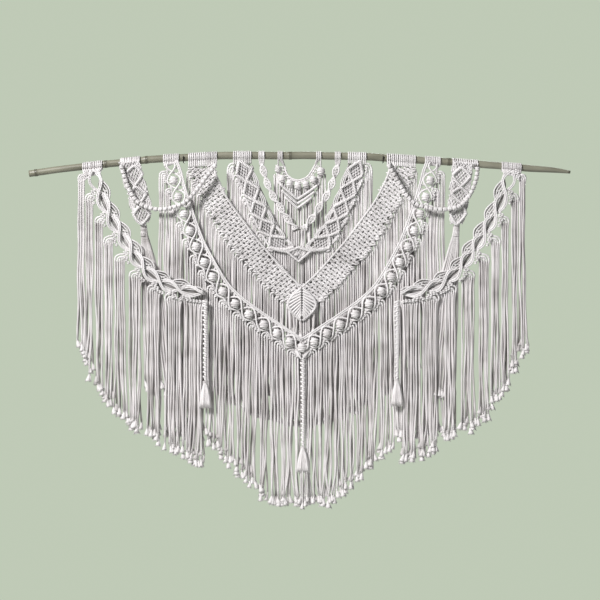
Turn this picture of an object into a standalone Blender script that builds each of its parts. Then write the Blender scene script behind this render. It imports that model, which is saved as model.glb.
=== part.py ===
"""A macrame wall hanging: knotted cotton bands, swags and fringes on a curved bamboo rod.

Metres, +Z up; the front of the hanging faces -Y. The origin is on the rod's centreline, on the
hanging's line of symmetry. The tables and the working numbers are in millimetres, and MM turns
them into metres as a mesh is made. Each table gives half of a band, and the other half mirrors it.
"""
import math
import random

import bmesh
import bpy
import numpy as np
from mathutils import Matrix, Vector

MM = 0.001
CLEARANCE = 0.3        # left between pieces that touch
WRAP_CLEARANCE = 0.8   # left inside a turn, because the rod slopes across it
CORD = 3.6             # thickness of the cotton cord where it is wound round the rod
SHARP_EDGE = math.radians(50)

FRONT_TO_BACK = Vector((0.0, 1.0, 0.0))
RIGHT = Vector((1.0, 0.0, 0.0))

# Bamboo rod: x, z of the centreline, diameter.
ROD = (
    (-602, -40, 14.5), (-495, -26, 15.0), (-339, -9, 16.0), (-169, 0, 16.5), (0, 0, 16.5),
    (156, -3, 16.5), (319, -14, 16.0), (502, -28, 15.0), (554, -32, 12.0), (594, -37, 6.0),
)
ROD_NODES = (-587, -433, -343, -26, 324)     # x of the bamboo's rings
ROD_SIDES = 12
ROD_STEP = 55.0
RING_HEIGHT = 0.7
RING_REACH = 3.5

# A cord's turn round the rod: angles from straight down, by the front, over the top.
WRAP_ANGLES = (60, 100, 145, 190, 235, 280, 322)
WRAP_SEGMENT = 45.0
STRAND_WRAP_WIDTH = 9.0

# Depth of each layer: front and back of its flat cloth, as y.
LAYERS = {
    "crescent_fringe": (8.3, 11.0),
    "crescent": (3.8, 7.6),
    "diamond_fringe": (3.4, 6.0),
    "spiral": (-7.0, 5.0),
    "spiral_fringe": (-0.4, 2.2),
    "diamond_band": (-4.4, -0.8),
    "net_fringe": (-3.6, -1.0),
    "net_band": (-11.0, -6.2),
    "leaf_fringe": (-11.2, -8.6),
    "leaf": (-16.2, -12.8),
    "berry_fringe": (-11.8, -9.0),
    "berry_band": (-17.0, -12.3),
    "tail": (-16.9, -13.2),
    "tongue": (-22.4, -17.6),
    "swag_fringe": (-21.9, -19.0),
    "swag": (-27.6, -22.4),
    "chain": (-36.0, -25.2),
    "braid": (-31.0, -23.0),
    "centre_braid": (-20.2, -12.4),
}

# Bands, from the rod to the centre: distance from the axis and z of the inner edge, and the same
# of the outer edge, where the fringe hangs.
SWAG = (
    (440, -37, 484, -44), (422, -84, 466, -92), (403, -132, 449, -139), (381, -174, 427, -183),
    (352, -218, 403, -224), (319, -251, 370, -264), (284, -271, 328, -295), (251, -282, 282, -315),
    (221, -294, 222, -314),
)
BERRY_BAND = (
    (271, -11, 306, -22), (255, -84, 288, -99), (224, -163, 262, -178), (200, -227, 233, -251),
    (161, -290, 191, -317), (106, -337, 130, -363), (46, -378, 66, -407), (0, -400, 0, -441),
)
NET_BAND = (
    (196, -22, 251, -26), (185, -53, 240, -56), (162, -99, 216, -103), (132, -141, 183, -161),
    (99, -185, 152, -207), (68, -221, 110, -253), (33, -260, 70, -297), (16, -276, 38, -322),
    (0, -291, 0, -328),
)
DIAMOND_BAND = (
    (106, -17, 147, -20), (89, -65, 141, -48), (67, -112, 119, -95), (52, -145, 106, -132),
    (31, -178, 88, -172), (10, -202, 64, -207), (4, -205, 26, -213), (0, -207, 0, -233),
)
TONGUE_LEFT = (
    (356, -11, 402, -18), (347, -51, 396, -51), (335, -88, 383, -88), (330, -117, 376, -121),
    (335, -147, 362, -152),
)
TONGUE_RIGHT = (
    (331, -14, 373, -18), (326, -55, 373, -51), (322, -88, 366, -88), (320, -124, 363, -121),
    (327, -152, 353, -152),
)
DIAMOND_AXIS = -5.0      # the three inner bands hang a little left of the others

# Cells of each half band, and how far their ridges stand proud.
SWAG_CELLS = 8
BERRIES_ALL = 13
DIAMOND_CELLS = 4
TONGUE_CELLS = 3
NET_STEPS = 18
NET_LINES = 5
DIAMOND_LINES = (0.0, 0.25, 0.5, 0.75, 1.0)
KNOT_RISE = 2.4
BERRY_RISE = 7.0
BAR_RISE = 1.4
NET_RISE = 1.4
SCALLOP = 0.05

# One cell of the swag: place along the cell, then the lines across it from the inner edge. The
# second space is the eye, which is open but at the crossing.
SWAG_CELL = (
    (0.00, (0.20, 0.36, 0.50, 0.64, 0.80)),
    (0.20, (0.20, 0.36, 0.50, 0.64, 0.80)),
    (0.48, (0.00, 0.16, 0.54, 0.72, 0.94)),
    (0.80, (0.06, 0.22, 0.54, 0.76, 1.02)),
)
# One cell of the berry band: rails, open slots and the berry between them.
BERRY_CELL = (
    (0.00, (0.12, 0.28, 0.38, 0.50, 0.62, 0.72, 0.88)),
    (0.20, (0.12, 0.28, 0.38, 0.50, 0.62, 0.72, 0.88)),
    (0.46, (0.00, 0.14, 0.28, 0.50, 0.72, 0.86, 1.00)),
    (0.78, (0.00, 0.14, 0.28, 0.50, 0.72, 0.86, 1.00)),
)

# Crescent: x from the axis and the z of its lines: arc, arc foot, berry foot, bar top, bar foot.
CRESCENT = (
    (-40, (-24, -32, -46, -60, -78)), (-28, (-38, -45, -58, -72, -90)),
    (-15, (-50, -57, -70, -84, -102)), (0, (-54, -61, -76, -96, -118)),
    (15, (-50, -57, -70, -84, -102)), (28, (-38, -45, -58, -72, -90)),
    (40, (-24, -32, -46, -60, -78)),
)
CRESCENT_LIFT = (0.0, 0.0, 3.0, 0.0, 0.0)
CRESCENT_END = 315       # the pair of cords stops short of the arc behind the rod

# Free strands: x, z along each route.
SPIRAL = ((84, -20), (80, -34), (72, -60), (60, -88), (46, -109), (34, -130), (20, -148), (9, -162))
CHAIN_LEFT = (
    (-191, -26), (-209, -50), (-238, -88), (-260, -108), (-297, -120), (-332, -118),
    (-365, -104), (-385, -82), (-400, -51), (-408, -28),
)
CHAIN_RIGHT = (
    (191, -26), (205, -50), (229, -90), (249, -108), (277, -118), (304, -121),
    (337, -116), (356, -104), (371, -82), (381, -55), (384, -32),
)
SPIRAL_HALF = (5.6, 3.4)         # half width and half thickness of the twisted sinnet
SPIRAL_STEP = 5.5
SPIRAL_TURN = 45.0
CHAIN_HALF = 5.2
CHAIN_BEAD = 14.0
CHAIN_WAIST = 0.62
BRAID_HALF = (6.2, 3.6)
BRAID_STEP = 11.0
BRAID_WAIST = 0.78
BRAID_SHIFT = 1.1

# Fringes: distance from the axis and z where the locks leave their strip, then the same of the ends.
SWAG_ROOTS = (
    (216, -306), (250, -306), (282, -303), (328, -284), (370, -254), (403, -216), (427, -175),
    (449, -131), (466, -86), (490, -50),
)
SWAG_ENDS = (
    (216, -684), (260, -667), (323, -629), (348, -612), (378, -601), (407, -574), (429, -537),
    (451, -515), (471, -460), (493, -418),
)
SWAG_GROUPS = ((219, 297), (312, 339), (352, 381), (392, 417), (427, 463), (471, 488))
BERRY_ROOTS = (
    (0, -432), (42, -412), (75, -392), (103, -371), (136, -352), (163, -332), (187, -312),
    (207, -290), (229, -250), (244, -217), (260, -176), (273, -136), (288, -90), (296, -60),
    (306, -36), (314, -32),
)
BERRY_ENDS = (
    (0, -772), (73, -770), (90, -742), (97, -740), (139, -700), (170, -668), (198, -640),
    (209, -625), (260, -620), (314, -610),
)
NET_ROOTS = (
    (0, -322), (38, -314), (70, -288), (110, -245), (152, -200), (183, -153), (216, -96),
    (240, -46), (250, -28),
)
NET_ENDS = ((0, -650), (90, -610), (170, -540), (250, -470))
DIAMOND_ROOTS = (
    (0, -226), (26, -206), (64, -200), (88, -166), (106, -126), (119, -90), (141, -44), (150, -22),
)
DIAMOND_ENDS = ((0, -560), (80, -520), (150, -420))
CRESCENT_ROOTS = ((0, -110), (28, -84), (40, -72), (48, -44), (60, -40))
CRESCENT_ENDS = ((0, -330), (60, -300))
SPIRAL_ROOTS = ((0, -172), (26, -176))
SPIRAL_ENDS = ((0, -199), (26, -197))
LEAF_ROOTS = ((0, -360), (31, -334))
LEAF_ENDS = ((0, -415), (31, -398))
STRIP = 5.0              # height of the strip that holds a fringe's locks
LOCK_TAPER = 0.72

# Tufts: z, shift, half width, half depth of each level; the first SOLID_LEVELS are one head.
TASSEL = ((0, 0, 5.0, 3.4), (-12, 0, 6.2, 3.8), (-16, 0, 6.6, 3.8), (-62, 0, 10.0, 3.0))
TAIL = (
    (0, 0, 8.0, 1.8), (-28, 3, 7.0, 1.8), (-36, 4, 9.0, 1.8), (-110, 16, 20.0, 1.8),
    (-368, 36, 34.0, 1.5),
)
SOLID_LEVELS = 2
TASSEL_LOCKS = 4
TAIL_LOCKS = 5
TUFT_FILL = 0.78

# Leaf: z of the midrib, half width and drop of the rim at each vein.
LEAF = (
    (-296, 3, 2), (-301, 15, 8), (-309, 25, 13), (-318, 31, 17), (-328, 28, 17), (-338, 21, 13),
    (-348, 12, 9), (-360, 3, 3),
)
LEAF_LINES = (-1.0, -0.55, 0.0, 0.55, 1.0)
VEIN_RISE = 1.1

HOOK_PLACES = (-261, 179)
HOOK_RADIUS = 1.4
HOOK_WALL = 15.0         # y of the wall that the hooks come out of
HOOK_LIP = 3.0

COTTON = (0.76, 0.735, 0.69)
COTTON_SHADE = (0.68, 0.65, 0.61)
BAMBOO = (0.24, 0.22, 0.15)
DARK_METAL = (0.06, 0.06, 0.055)


def clear_scene():
    for obj in list(bpy.data.objects):
        bpy.data.objects.remove(obj, do_unlink=True)


def finish_object(name, mesh, colour, roughness=0.9, metallic=0.0):
    """Turns the bmesh into a named object with its own material."""
    bmesh.ops.recalc_face_normals(mesh, faces=mesh.faces)
    if mesh.calc_volume(signed=True) < 0:
        bmesh.ops.reverse_faces(mesh, faces=mesh.faces)
    data = bpy.data.meshes.new(name)
    mesh.to_mesh(data)
    mesh.free()
    data.shade_smooth()
    data.set_sharp_from_angle(angle=SHARP_EDGE)
    material = bpy.data.materials.new(name)
    material.use_nodes = True
    shader = material.node_tree.nodes["Principled BSDF"]
    shader.inputs["Base Color"].default_value = (*colour, 1.0)
    shader.inputs["Roughness"].default_value = roughness
    shader.inputs["Metallic"].default_value = metallic
    data.materials.append(material)
    obj = bpy.data.objects.new(name, data)
    bpy.context.collection.objects.link(obj)
    return obj


def smooth_table(rows, count=240):
    """Reads a table as a smooth curve: returns count rows of it (Catmull-Rom)."""
    points = np.array(rows, dtype=float)
    points = np.vstack((2 * points[0] - points[1], points, 2 * points[-1] - points[-2]))
    samples = []
    for place in np.linspace(0, len(rows) - 1, count):
        i = min(int(place), len(rows) - 2)
        t = place - i
        a, b, c, d = points[i:i + 4]
        samples.append(0.5 * (2 * b + (c - a) * t + (2 * a - 5 * b + 4 * c - d) * t ** 2
                              + (3 * b - a - 3 * c + d) * t ** 3))
    return np.array(samples)


def length_fractions(points):
    steps = np.linalg.norm(np.diff(points, axis=0), axis=1)
    return np.concatenate(([0.0], np.cumsum(steps) / steps.sum()))


class Band:
    """The two edges of a half band, read at a fraction of its length."""

    def __init__(self, rows, side=1, axis=0.0):
        self.samples = smooth_table(rows)
        middle = (self.samples[:, :2] + self.samples[:, 2:]) / 2
        self.fractions = length_fractions(middle)
        self.side = side
        self.axis = axis

    def point(self, place, across):
        """x and z at a fraction along the band and a fraction across it, inner edge first."""
        inner_x, inner_z, outer_x, outer_z = (
            np.interp(place, self.fractions, self.samples[:, k]) for k in range(4))
        x = inner_x + (outer_x - inner_x) * across
        z = inner_z + (outer_z - inner_z) * across
        return self.axis + self.side * x, z


def rod_at(x):
    """z of the rod's centreline and its radius at x."""
    table = np.array(ROD)
    return np.interp(x, table[:, 0], table[:, 1]), np.interp(x, table[:, 0], table[:, 2]) / 2


def wrap_radius(x):
    """Inner radius of a cord's turn: its flat sides clear the rod."""
    return (rod_at(x)[1] + WRAP_CLEARANCE) / math.cos(math.radians(WRAP_SEGMENT / 2))


def wrap_point(x, angle, radius):
    turn = math.radians(angle)
    return x, -radius * math.sin(turn), rod_at(x)[0] - radius * math.cos(turn)


def heading_rows(places, last_angle=WRAP_ANGLES[-1]):
    """Rows of a heading, from behind the rod to its front: ridged cords side by side."""
    rows = []
    for angle in reversed([a for a in WRAP_ANGLES if a <= last_angle]):
        outer, inner = [], []
        for k, x in enumerate(places):
            ridge = CORD if k % 2 == 0 else CORD * 0.75
            outer.append(wrap_point(x, angle, wrap_radius(x) + ridge))
            inner.append(wrap_point(x, angle, wrap_radius(x)))
        rows.append((outer, inner))
    return rows


def grid_solid(name, rows, missing=(), colour=COTTON):
    """One closed solid over a grid of rows; each row has front and back points, and a missing
    cell is an opening. A front cell is split along the diagonal that stands further forward."""
    mesh = bmesh.new()
    corners = {}
    missing = set(missing)
    row_cells = len(rows) - 1
    column_cells = len(rows[0][0]) - 1

    def corner(i, j, face):
        key = (i, j, face)
        if key not in corners:
            corners[key] = mesh.verts.new(Vector(rows[i][face][j]) * MM)
        return corners[key]

    def present(i, j):
        return 0 <= i < row_cells and 0 <= j < column_cells and (i, j) not in missing

    for i in range(row_cells):
        for j in range(column_cells):
            if not present(i, j):
                continue
            a, b, c, d = (corner(i, j, 0), corner(i, j + 1, 0),
                          corner(i + 1, j + 1, 0), corner(i + 1, j, 0))
            if a.co.y + c.co.y < b.co.y + d.co.y:
                mesh.faces.new((a, b, c))
                mesh.faces.new((a, c, d))
            else:
                mesh.faces.new((a, b, d))
                mesh.faces.new((b, c, d))
            mesh.faces.new((corner(i, j, 1), corner(i + 1, j, 1),
                            corner(i + 1, j + 1, 1), corner(i, j + 1, 1)))
            edges = (
                ((i - 1, j), (i, j), (i, j + 1)), ((i + 1, j), (i + 1, j + 1), (i + 1, j)),
                ((i, j - 1), (i + 1, j), (i, j)), ((i, j + 1), (i, j + 1), (i + 1, j + 1)),
            )
            for neighbour, start, end in edges:
                if not present(*neighbour):
                    mesh.faces.new((corner(*start, 1), corner(*end, 1),
                                    corner(*end, 0), corner(*start, 0)))
    return finish_object(name, mesh, colour)


def ring_solid(name, rings, colour=COTTON, roughness=0.9, metallic=0.0):
    """One closed solid lofted through rings of points, with flat ends."""
    mesh = bmesh.new()
    loops = [[mesh.verts.new(Vector(point) * MM) for point in ring] for ring in rings]
    for first, second in zip(loops, loops[1:]):
        for k in range(len(first)):
            after = (k + 1) % len(first)
            mesh.faces.new((first[k], first[after], second[after], second[k]))
    mesh.faces.new(loops[0])
    mesh.faces.new(loops[-1])
    return finish_object(name, mesh, colour, roughness, metallic)


def section(centre, side, depth, half_width, half_depth, corners=4):
    """A ring of corners round a point, flat side to the front where it has four."""
    ring = []
    reach = 1 / math.cos(math.pi / corners) if corners == 4 else 1.0
    for k in range(corners):
        turn = 2 * math.pi * (k + 0.5) / corners
        ring.append(centre + side * half_width * reach * math.cos(turn)
                    + depth * half_depth * reach * math.sin(turn))
    return ring


def route(rows, step, y_front, y_back):
    """Points at an even step along a table of x and z, midway in a layer."""
    samples = smooth_table(rows)
    fractions = length_fractions(samples)
    length = np.linalg.norm(np.diff(samples, axis=0), axis=1).sum()
    places = np.linspace(0, 1, max(2, round(length / step)) + 1)
    middle = (y_front + y_back) / 2
    return [Vector((np.interp(p, fractions, samples[:, 0]), middle,
                    np.interp(p, fractions, samples[:, 1]))) for p in places]


def strand_wrap(x, side):
    """Rings of a strand's turn round the rod, from behind it to its front."""
    rings = []
    for angle in reversed(WRAP_ANGLES):
        radius = wrap_radius(x)
        inner = Vector(wrap_point(x, angle, radius))
        outer = Vector(wrap_point(x, angle, radius + CORD))
        rings.append(section((inner + outer) / 2, RIGHT * side, (outer - inner).normalized(),
                             STRAND_WRAP_WIDTH / 2, CORD / 2))
    return rings


def make_rod():
    """The bamboo rod: a tapering bowed pole with a raised ring at each node."""
    table = np.array(ROD, dtype=float)
    places = list(table[:, 0])
    for start, end in zip(table[:-1, 0], table[1:, 0]):
        places += list(np.linspace(start, end, math.ceil((end - start) / ROD_STEP) + 1))[1:-1]
    for node in ROD_NODES:
        places = [p for p in places if abs(p - node) > 3 * RING_REACH]
        places += [node - RING_REACH, node, node + RING_REACH]
    rings = []
    for x in sorted(places):
        z, radius = rod_at(x)
        if x in ROD_NODES:
            radius += RING_HEIGHT
        rings.append([(x, radius * math.cos(2 * math.pi * k / ROD_SIDES),
                       z + radius * math.sin(2 * math.pi * k / ROD_SIDES))
                      for k in range(ROD_SIDES)])
    ring_solid("rod", rings, BAMBOO, roughness=0.45)


def make_hooks():
    """Two bent wire hooks that come out of the wall and carry the rod."""
    for k, x in enumerate(HOOK_PLACES):
        z, radius = rod_at(x)
        reach = radius + CLEARANCE + HOOK_RADIUS
        points = [Vector((x, HOOK_WALL, z - reach))]
        for angle in (0, 40, 80):
            turn = math.radians(angle)
            clear = reach / math.cos(math.radians(20))
            points.append(Vector((x, -clear * math.sin(turn), z - clear * math.cos(turn))))
        points.append(points[-1] + Vector((0, -1.0, HOOK_LIP)))
        rings = []
        for i, point in enumerate(points):
            ahead = points[min(i + 1, len(points) - 1)] - points[max(i - 1, 0)]
            across = ahead.normalized().cross(RIGHT)
            rings.append(section(point, RIGHT, across, HOOK_RADIUS, HOOK_RADIUS, corners=6))
        ring_solid(f"wall_hook_{'left' if k == 0 else 'right'}", rings, DARK_METAL, 0.4, 1.0)


def band_row(band, place, lines, layer, lift=None):
    """Front and back points across a band; lift is how far each front point stands proud."""
    y_front, y_back = LAYERS[layer]
    front, back = [], []
    for k, across in enumerate(lines):
        x, z = band.point(place, across)
        front.append((x, y_front - (lift[k] if lift else 0.0), z))
        back.append((x, y_back, z))
    return front, back


def heading_places(band, lines):
    return [band.point(0, across)[0] for across in lines]


def cell_rows(band, cell, lifts, cells, layer, first=0.0):
    """Rows of a half band built from like cells, and the place of each row in its cell."""
    rows, kinds = [], []
    for n in range(cells):
        for kind, (place, lines) in enumerate(cell):
            fraction = first + (1 - first) * (n + place) / cells
            rows.append(band_row(band, fraction, lines, layer, lifts[kind]))
            kinds.append(kind)
    return rows, kinds


def make_swags():
    """Each swag is a row of open eyes between crossings, with a knot below each eye."""
    knot = (0.0, 0.0, 0.0, KNOT_RISE, 0.0)
    crossing = (0.0, KNOT_RISE, KNOT_RISE, KNOT_RISE / 2, 0.0)
    lifts = (crossing, crossing, knot, knot)
    even = (0.0, 0.25, 0.5, 0.75, 1.0)
    for name, side in (("swag_left", -1), ("swag_right", 1)):
        band = Band(SWAG, side)
        rows = heading_rows(heading_places(band, even))
        start = len(rows)
        cells, kinds = cell_rows(band, SWAG_CELL, lifts, SWAG_CELLS, "swag")
        rows += cells
        rows.append(band_row(band, 1.0, even, "swag"))
        missing = [(start + i, 1) for i, kind in enumerate(kinds) if kind > 0]
        grid_solid(name, rows, missing)


def both_halves(half, middle, head_places, axis=0.0, last_angle=WRAP_ANGLES[-1]):
    """Left heading, left half, middle row, right half and right heading of a band."""
    other = []
    for front, back in reversed(half):
        other.append(([(2 * axis - x, y, z) for x, y, z in front],
                      [(2 * axis - x, y, z) for x, y, z in back]))
    left = heading_rows(head_places, last_angle)
    right = heading_rows([2 * axis - x for x in head_places], last_angle)
    return left + half + middle + other + list(reversed(right))


def make_berry_band():
    """Rails with a row of round berries between them, open at both sides of each berry."""
    band = Band(BERRY_BAND, -1)
    plain = (0.0,) * 7
    berry = (0.0, 0.0, BERRY_RISE * 0.35, BERRY_RISE, BERRY_RISE * 0.35, 0.0, 0.0)
    even = (0.0, 0.17, 0.33, 0.5, 0.67, 0.83, 1.0)
    half_cells = BERRIES_ALL / 2
    rows, kinds = [], []
    for n in range(math.ceil(half_cells)):
        for kind, (place, lines) in enumerate(BERRY_CELL):
            fraction = (n + place) / half_cells
            if fraction < 1:
                rows.append(band_row(band, fraction, lines, "berry_band",
                                     (plain, plain, berry, berry)[kind]))
                kinds.append(kind)
    middle = [band_row(band, 1.0, BERRY_CELL[2][1], "berry_band", berry)]
    full = both_halves(rows, middle, heading_places(band, even))
    missing = []
    for i, kind in enumerate(kinds):
        if kind > 0:
            row = len(WRAP_ANGLES) + i
            missing += [(row, 1), (row, 4), (len(full) - 2 - row, 1), (len(full) - 2 - row, 4)]
    grid_solid("berry_band", full, missing)


def make_net_band():
    """The widest band: a close net, its crossings raised, its lower edge scalloped."""
    band = Band(NET_BAND, -1)
    lines = [k / (NET_LINES - 1) for k in range(NET_LINES)]
    rows = []
    for i in range(NET_STEPS):
        edge = lines[:-1] + [1.0 + SCALLOP * (i % 2)]
        lift = [NET_RISE * ((i + k) % 2) for k in range(NET_LINES)]
        rows.append(band_row(band, i / NET_STEPS, edge, "net_band", lift))
    middle = [band_row(band, 1.0, lines, "net_band", [NET_RISE * (k % 2) for k in range(NET_LINES)])]
    grid_solid("net_band", both_halves(rows, middle, heading_places(band, lines)))


def diamond_lift(place):
    """Ridges that run as a diamond from the middle out to the edges and back."""
    reach = 1 - abs(2 * place - 1)
    lift = []
    for line in (-1.0, -0.5, 0.0, 0.5, 1.0):
        on_ridge = abs(abs(line) - reach) < 0.01
        knot = place == 0.5 and line == 0
        lift.append(BAR_RISE if on_ridge else BAR_RISE * 0.6 if knot else 0.0)
    return lift


def diamond_rows(band, cells, layer):
    rows = []
    for n in range(cells):
        for quarter in (0.0, 0.25, 0.5, 0.75):
            rows.append(band_row(band, (n + quarter) / cells, DIAMOND_LINES, layer,
                                 diamond_lift(quarter)))
    return rows, [band_row(band, 1.0, DIAMOND_LINES, layer, diamond_lift(0.0))]


def make_diamond_band():
    band = Band(DIAMOND_BAND, -1, DIAMOND_AXIS)
    rows, middle = diamond_rows(band, DIAMOND_CELLS, "diamond_band")
    places = heading_places(band, DIAMOND_LINES)
    grid_solid("diamond_band", both_halves(rows, middle, places, DIAMOND_AXIS))


def make_tongues():
    for name, table, side in (("tongue_left", TONGUE_LEFT, -1), ("tongue_right", TONGUE_RIGHT, 1)):
        band = Band(table, side)
        rows, last = diamond_rows(band, TONGUE_CELLS, "tongue")
        grid_solid(name, heading_rows(heading_places(band, DIAMOND_LINES)) + rows + last)


def make_crescent():
    """An arc hung from two pairs of cords, with berries below it and a V of bars."""
    y_front, y_back = LAYERS["crescent"]
    rows = []
    for x, lines in CRESCENT:
        rows.append(([(x + DIAMOND_AXIS, y_front - CRESCENT_LIFT[k], z) for k, z in enumerate(lines)],
                     [(x + DIAMOND_AXIS, y_back, z) for z in lines]))
    bottom = rows[0][0][0][0]
    pair = [bottom + STRAND_WRAP_WIDTH * (0.5 - k) for k in range(5)]
    half = len(rows) // 2
    full = both_halves(rows[:half], rows[half:half + 1], pair, DIAMOND_AXIS, CRESCENT_END)
    turns = (len(full) - len(rows)) // 2
    missing = [(i, j) for i in range(len(full) - 1) for j in range(1, 4)
               if i < turns or i >= len(full) - 1 - turns]
    links = [(turns + i, 2) for i in range(1, len(rows) - 1, 2)]
    grid_solid("crescent", full, missing + links)


def make_spirals():
    """Two sinnets of half knots, which turn as they go and meet at the centre."""
    for name, side in (("spiral_left", -1), ("spiral_right", 1)):
        rows = [(DIAMOND_AXIS + side * x, z) for x, z in SPIRAL]
        points = route(rows, SPIRAL_STEP, *LAYERS["spiral"])
        rings = strand_wrap(rows[0][0], 1)
        for i, point in enumerate(points):
            ahead = points[min(i + 1, len(points) - 1)] - points[max(i - 1, 0)]
            ahead.normalize()
            flat = ahead.cross(FRONT_TO_BACK).normalized()
            turn = Matrix.Rotation(math.radians(SPIRAL_TURN * i), 3, ahead)
            rings.append(section(point, turn @ flat, turn @ ahead.cross(flat), *SPIRAL_HALF))
        ring_solid(name, rings)


def make_chains():
    """Bead-like sinnets that swing in front of the bands, both ends on the rod."""
    for name, rows in (("chain_left", CHAIN_LEFT), ("chain_right", CHAIN_RIGHT)):
        points = route(rows, CHAIN_BEAD / 2, *LAYERS["chain"])
        rings = strand_wrap(rows[0][0], 1)
        for i, point in enumerate(points):
            ahead = (points[min(i + 1, len(points) - 1)] - points[max(i - 1, 0)]).normalized()
            half = CHAIN_HALF * (1.0 if i % 2 else CHAIN_WAIST)
            flat = ahead.cross(FRONT_TO_BACK).normalized()
            rings.append(section(point, flat, ahead.cross(flat), half, half))
        ring_solid(name, rings + list(reversed(strand_wrap(rows[-1][0], -1))))


def make_fringe(name, roots, ends, centres, width, bends=1, axis=0.0, seed=0, ragged=9.0):
    """A strip with a flat lock of cords below it at each centre; the locks hang apart."""
    rng = random.Random(seed)
    y_front, y_back = LAYERS[name.replace("_left", "").replace("_right", "")]
    roots, ends = np.array(sorted(roots), dtype=float), np.array(sorted(ends), dtype=float)
    levels = bends + 3
    rows = [([], []) for _ in range(levels)]
    for centre in sorted(centres):
        sway = rng.uniform(-0.5, 0.5)
        cut = rng.uniform(-ragged, ragged)
        away = abs(centre - axis)
        end = np.interp(away, ends[:, 0], ends[:, 1]) + cut
        for edge in (-0.5, 0.5):
            x = centre + edge * width
            root = np.interp(abs(x - axis), roots[:, 0], roots[:, 1])
            for level in range(levels):
                below = max(0, level - 1) / (bends + 1)
                z = root + STRIP if level == 0 else root + (end - root) * below
                taper = 1 - (1 - LOCK_TAPER) * below ** 3
                bow = sway * math.sin(math.pi * below) * 2
                place = centre + edge * width * taper + bow * (1 if level > 1 else 0)
                middle = (y_front + y_back) / 2
                half_depth = (y_back - y_front) / 2 * taper
                rows[level][0].append((place if level > 1 else x, middle - half_depth, z))
                rows[level][1].append((place if level > 1 else x, middle + half_depth, z))
    cells = len(rows[0][0]) - 1
    missing = [(i, j) for i in range(1, levels - 1) for j in range(1, cells, 2)]
    grid_solid(name, rows, missing, COTTON_SHADE)


def spread(first, last, pitch):
    count = max(1, round(abs(last - first) / pitch))
    step = (last - first) / count
    return [first + step * (k + 0.5) for k in range(count)]


def make_fringes():
    for name, side in (("swag_fringe_left", -1), ("swag_fringe_right", 1)):
        centres = [side * x for group in SWAG_GROUPS for x in spread(*group, 11.5)]
        make_fringe(name, SWAG_ROOTS, SWAG_ENDS, centres, 8.2, bends=1, seed=3 + side)
    make_fringe("berry_fringe", BERRY_ROOTS, BERRY_ENDS, spread(-313, 313, 10.6), 7.8, 1, seed=5)
    make_fringe("net_fringe", NET_ROOTS, NET_ENDS, spread(-249, 249, 11.0), 8.0, 0, seed=6)
    make_fringe("diamond_fringe", DIAMOND_ROOTS, DIAMOND_ENDS,
                [x + DIAMOND_AXIS for x in spread(-148, 148, 11.0)], 8.0, 0, DIAMOND_AXIS, seed=7)
    make_fringe("crescent_fringe", CRESCENT_ROOTS, CRESCENT_ENDS,
                [x + DIAMOND_AXIS for x in spread(-58, 58, 10.5)], 7.6, 0, DIAMOND_AXIS, seed=8)
    make_fringe("spiral_fringe", SPIRAL_ROOTS, SPIRAL_ENDS,
                [x + DIAMOND_AXIS for x in spread(-24, 24, 9.6)], 6.4, 0, DIAMOND_AXIS, 9, ragged=2.0)
    make_fringe("leaf_fringe", LEAF_ROOTS, LEAF_ENDS, spread(-29, 29, 8.4), 5.8, 0, seed=10, ragged=4.0)


def make_leaf():
    """A pointed leaf: rim and midrib, with veins that climb to the midrib."""
    y_front, y_back = LAYERS["leaf"]
    rows = []
    for i, (z, half, drop) in enumerate(LEAF):
        front, back = [], []
        for line in LEAF_LINES:
            vein = VEIN_RISE * (i % 2) if 0 < abs(line) < 1 else VEIN_RISE
            front.append((half * line, y_front - vein, z - drop * abs(line)))
            back.append((half * line, y_back, z - drop * abs(line)))
        rows.append((front, back))
    grid_solid("leaf", rows)


def make_tuft(name, x, y, top, levels, locks, toward=1):
    """A solid head that parts into locks, which spread as they fall."""
    rows = []
    for z, shift, half_width, half_depth in levels:
        front, back = [], []
        for k in range(locks):
            for edge in (-0.5, 0.5):
                fraction = (k + 0.5 + edge * TUFT_FILL) / locks
                place = x + toward * shift + half_width * (2 * fraction - 1)
                front.append((place, y - half_depth, top + z))
                back.append((place, y + half_depth, top + z))
        rows.append((front, back))
    missing = [(i, j) for i in range(SOLID_LEVELS, len(levels) - 1)
               for j in range(1, 2 * locks - 1, 2)]
    grid_solid(name, rows, missing)


def make_braid(name, x, y_front, y_back, top, bottom):
    """A flat braid with a bulge at every crossing."""
    steps = round((top - bottom) / BRAID_STEP)
    middle = (y_front + y_back) / 2
    rings = []
    for i in range(2 * steps + 1):
        z = top + (bottom - top) * i / (2 * steps)
        swell = 1.0 if i % 2 else BRAID_WAIST
        shift = BRAID_SHIFT * ((0, 1, 0, -1)[i % 4])
        centre = Vector((x + shift, middle, z))
        rings.append(section(centre, RIGHT, FRONT_TO_BACK, BRAID_HALF[0] * swell, BRAID_HALF[1] * swell))
    ring_solid(name, rings)


def make_braids():
    for place, x, layer, top, bottom in (
            ("left", -212, "braid", -320, -496), ("right", 208, "braid", -320, -490),
            ("centre", 2, "centre_braid", -446, -636)):
        front, back = LAYERS[layer]
        make_braid(f"braid_{place}", x, front, back, top, bottom)
        make_tuft(f"tassel_{place}", x, (front + back) / 2, bottom - CLEARANCE, TASSEL, TASSEL_LOCKS)


def make_tails():
    """The cords gathered below each tongue, which fan out behind the swag's fringe."""
    for name, x, side in (("tail_left", -348.5, -1), ("tail_right", 340, 1)):
        front, back = LAYERS["tail"]
        make_tuft(name, x, (front + back) / 2, -152 - CLEARANCE - 1.0, TAIL, TAIL_LOCKS, toward=-side)


def build():
    clear_scene()
    make_rod()
    make_hooks()
    make_swags()
    make_tongues()
    make_berry_band()
    make_net_band()
    make_diamond_band()
    make_crescent()
    make_leaf()
    make_spirals()
    make_chains()
    make_fringes()
    make_tails()
    make_braids()


build()
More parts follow.
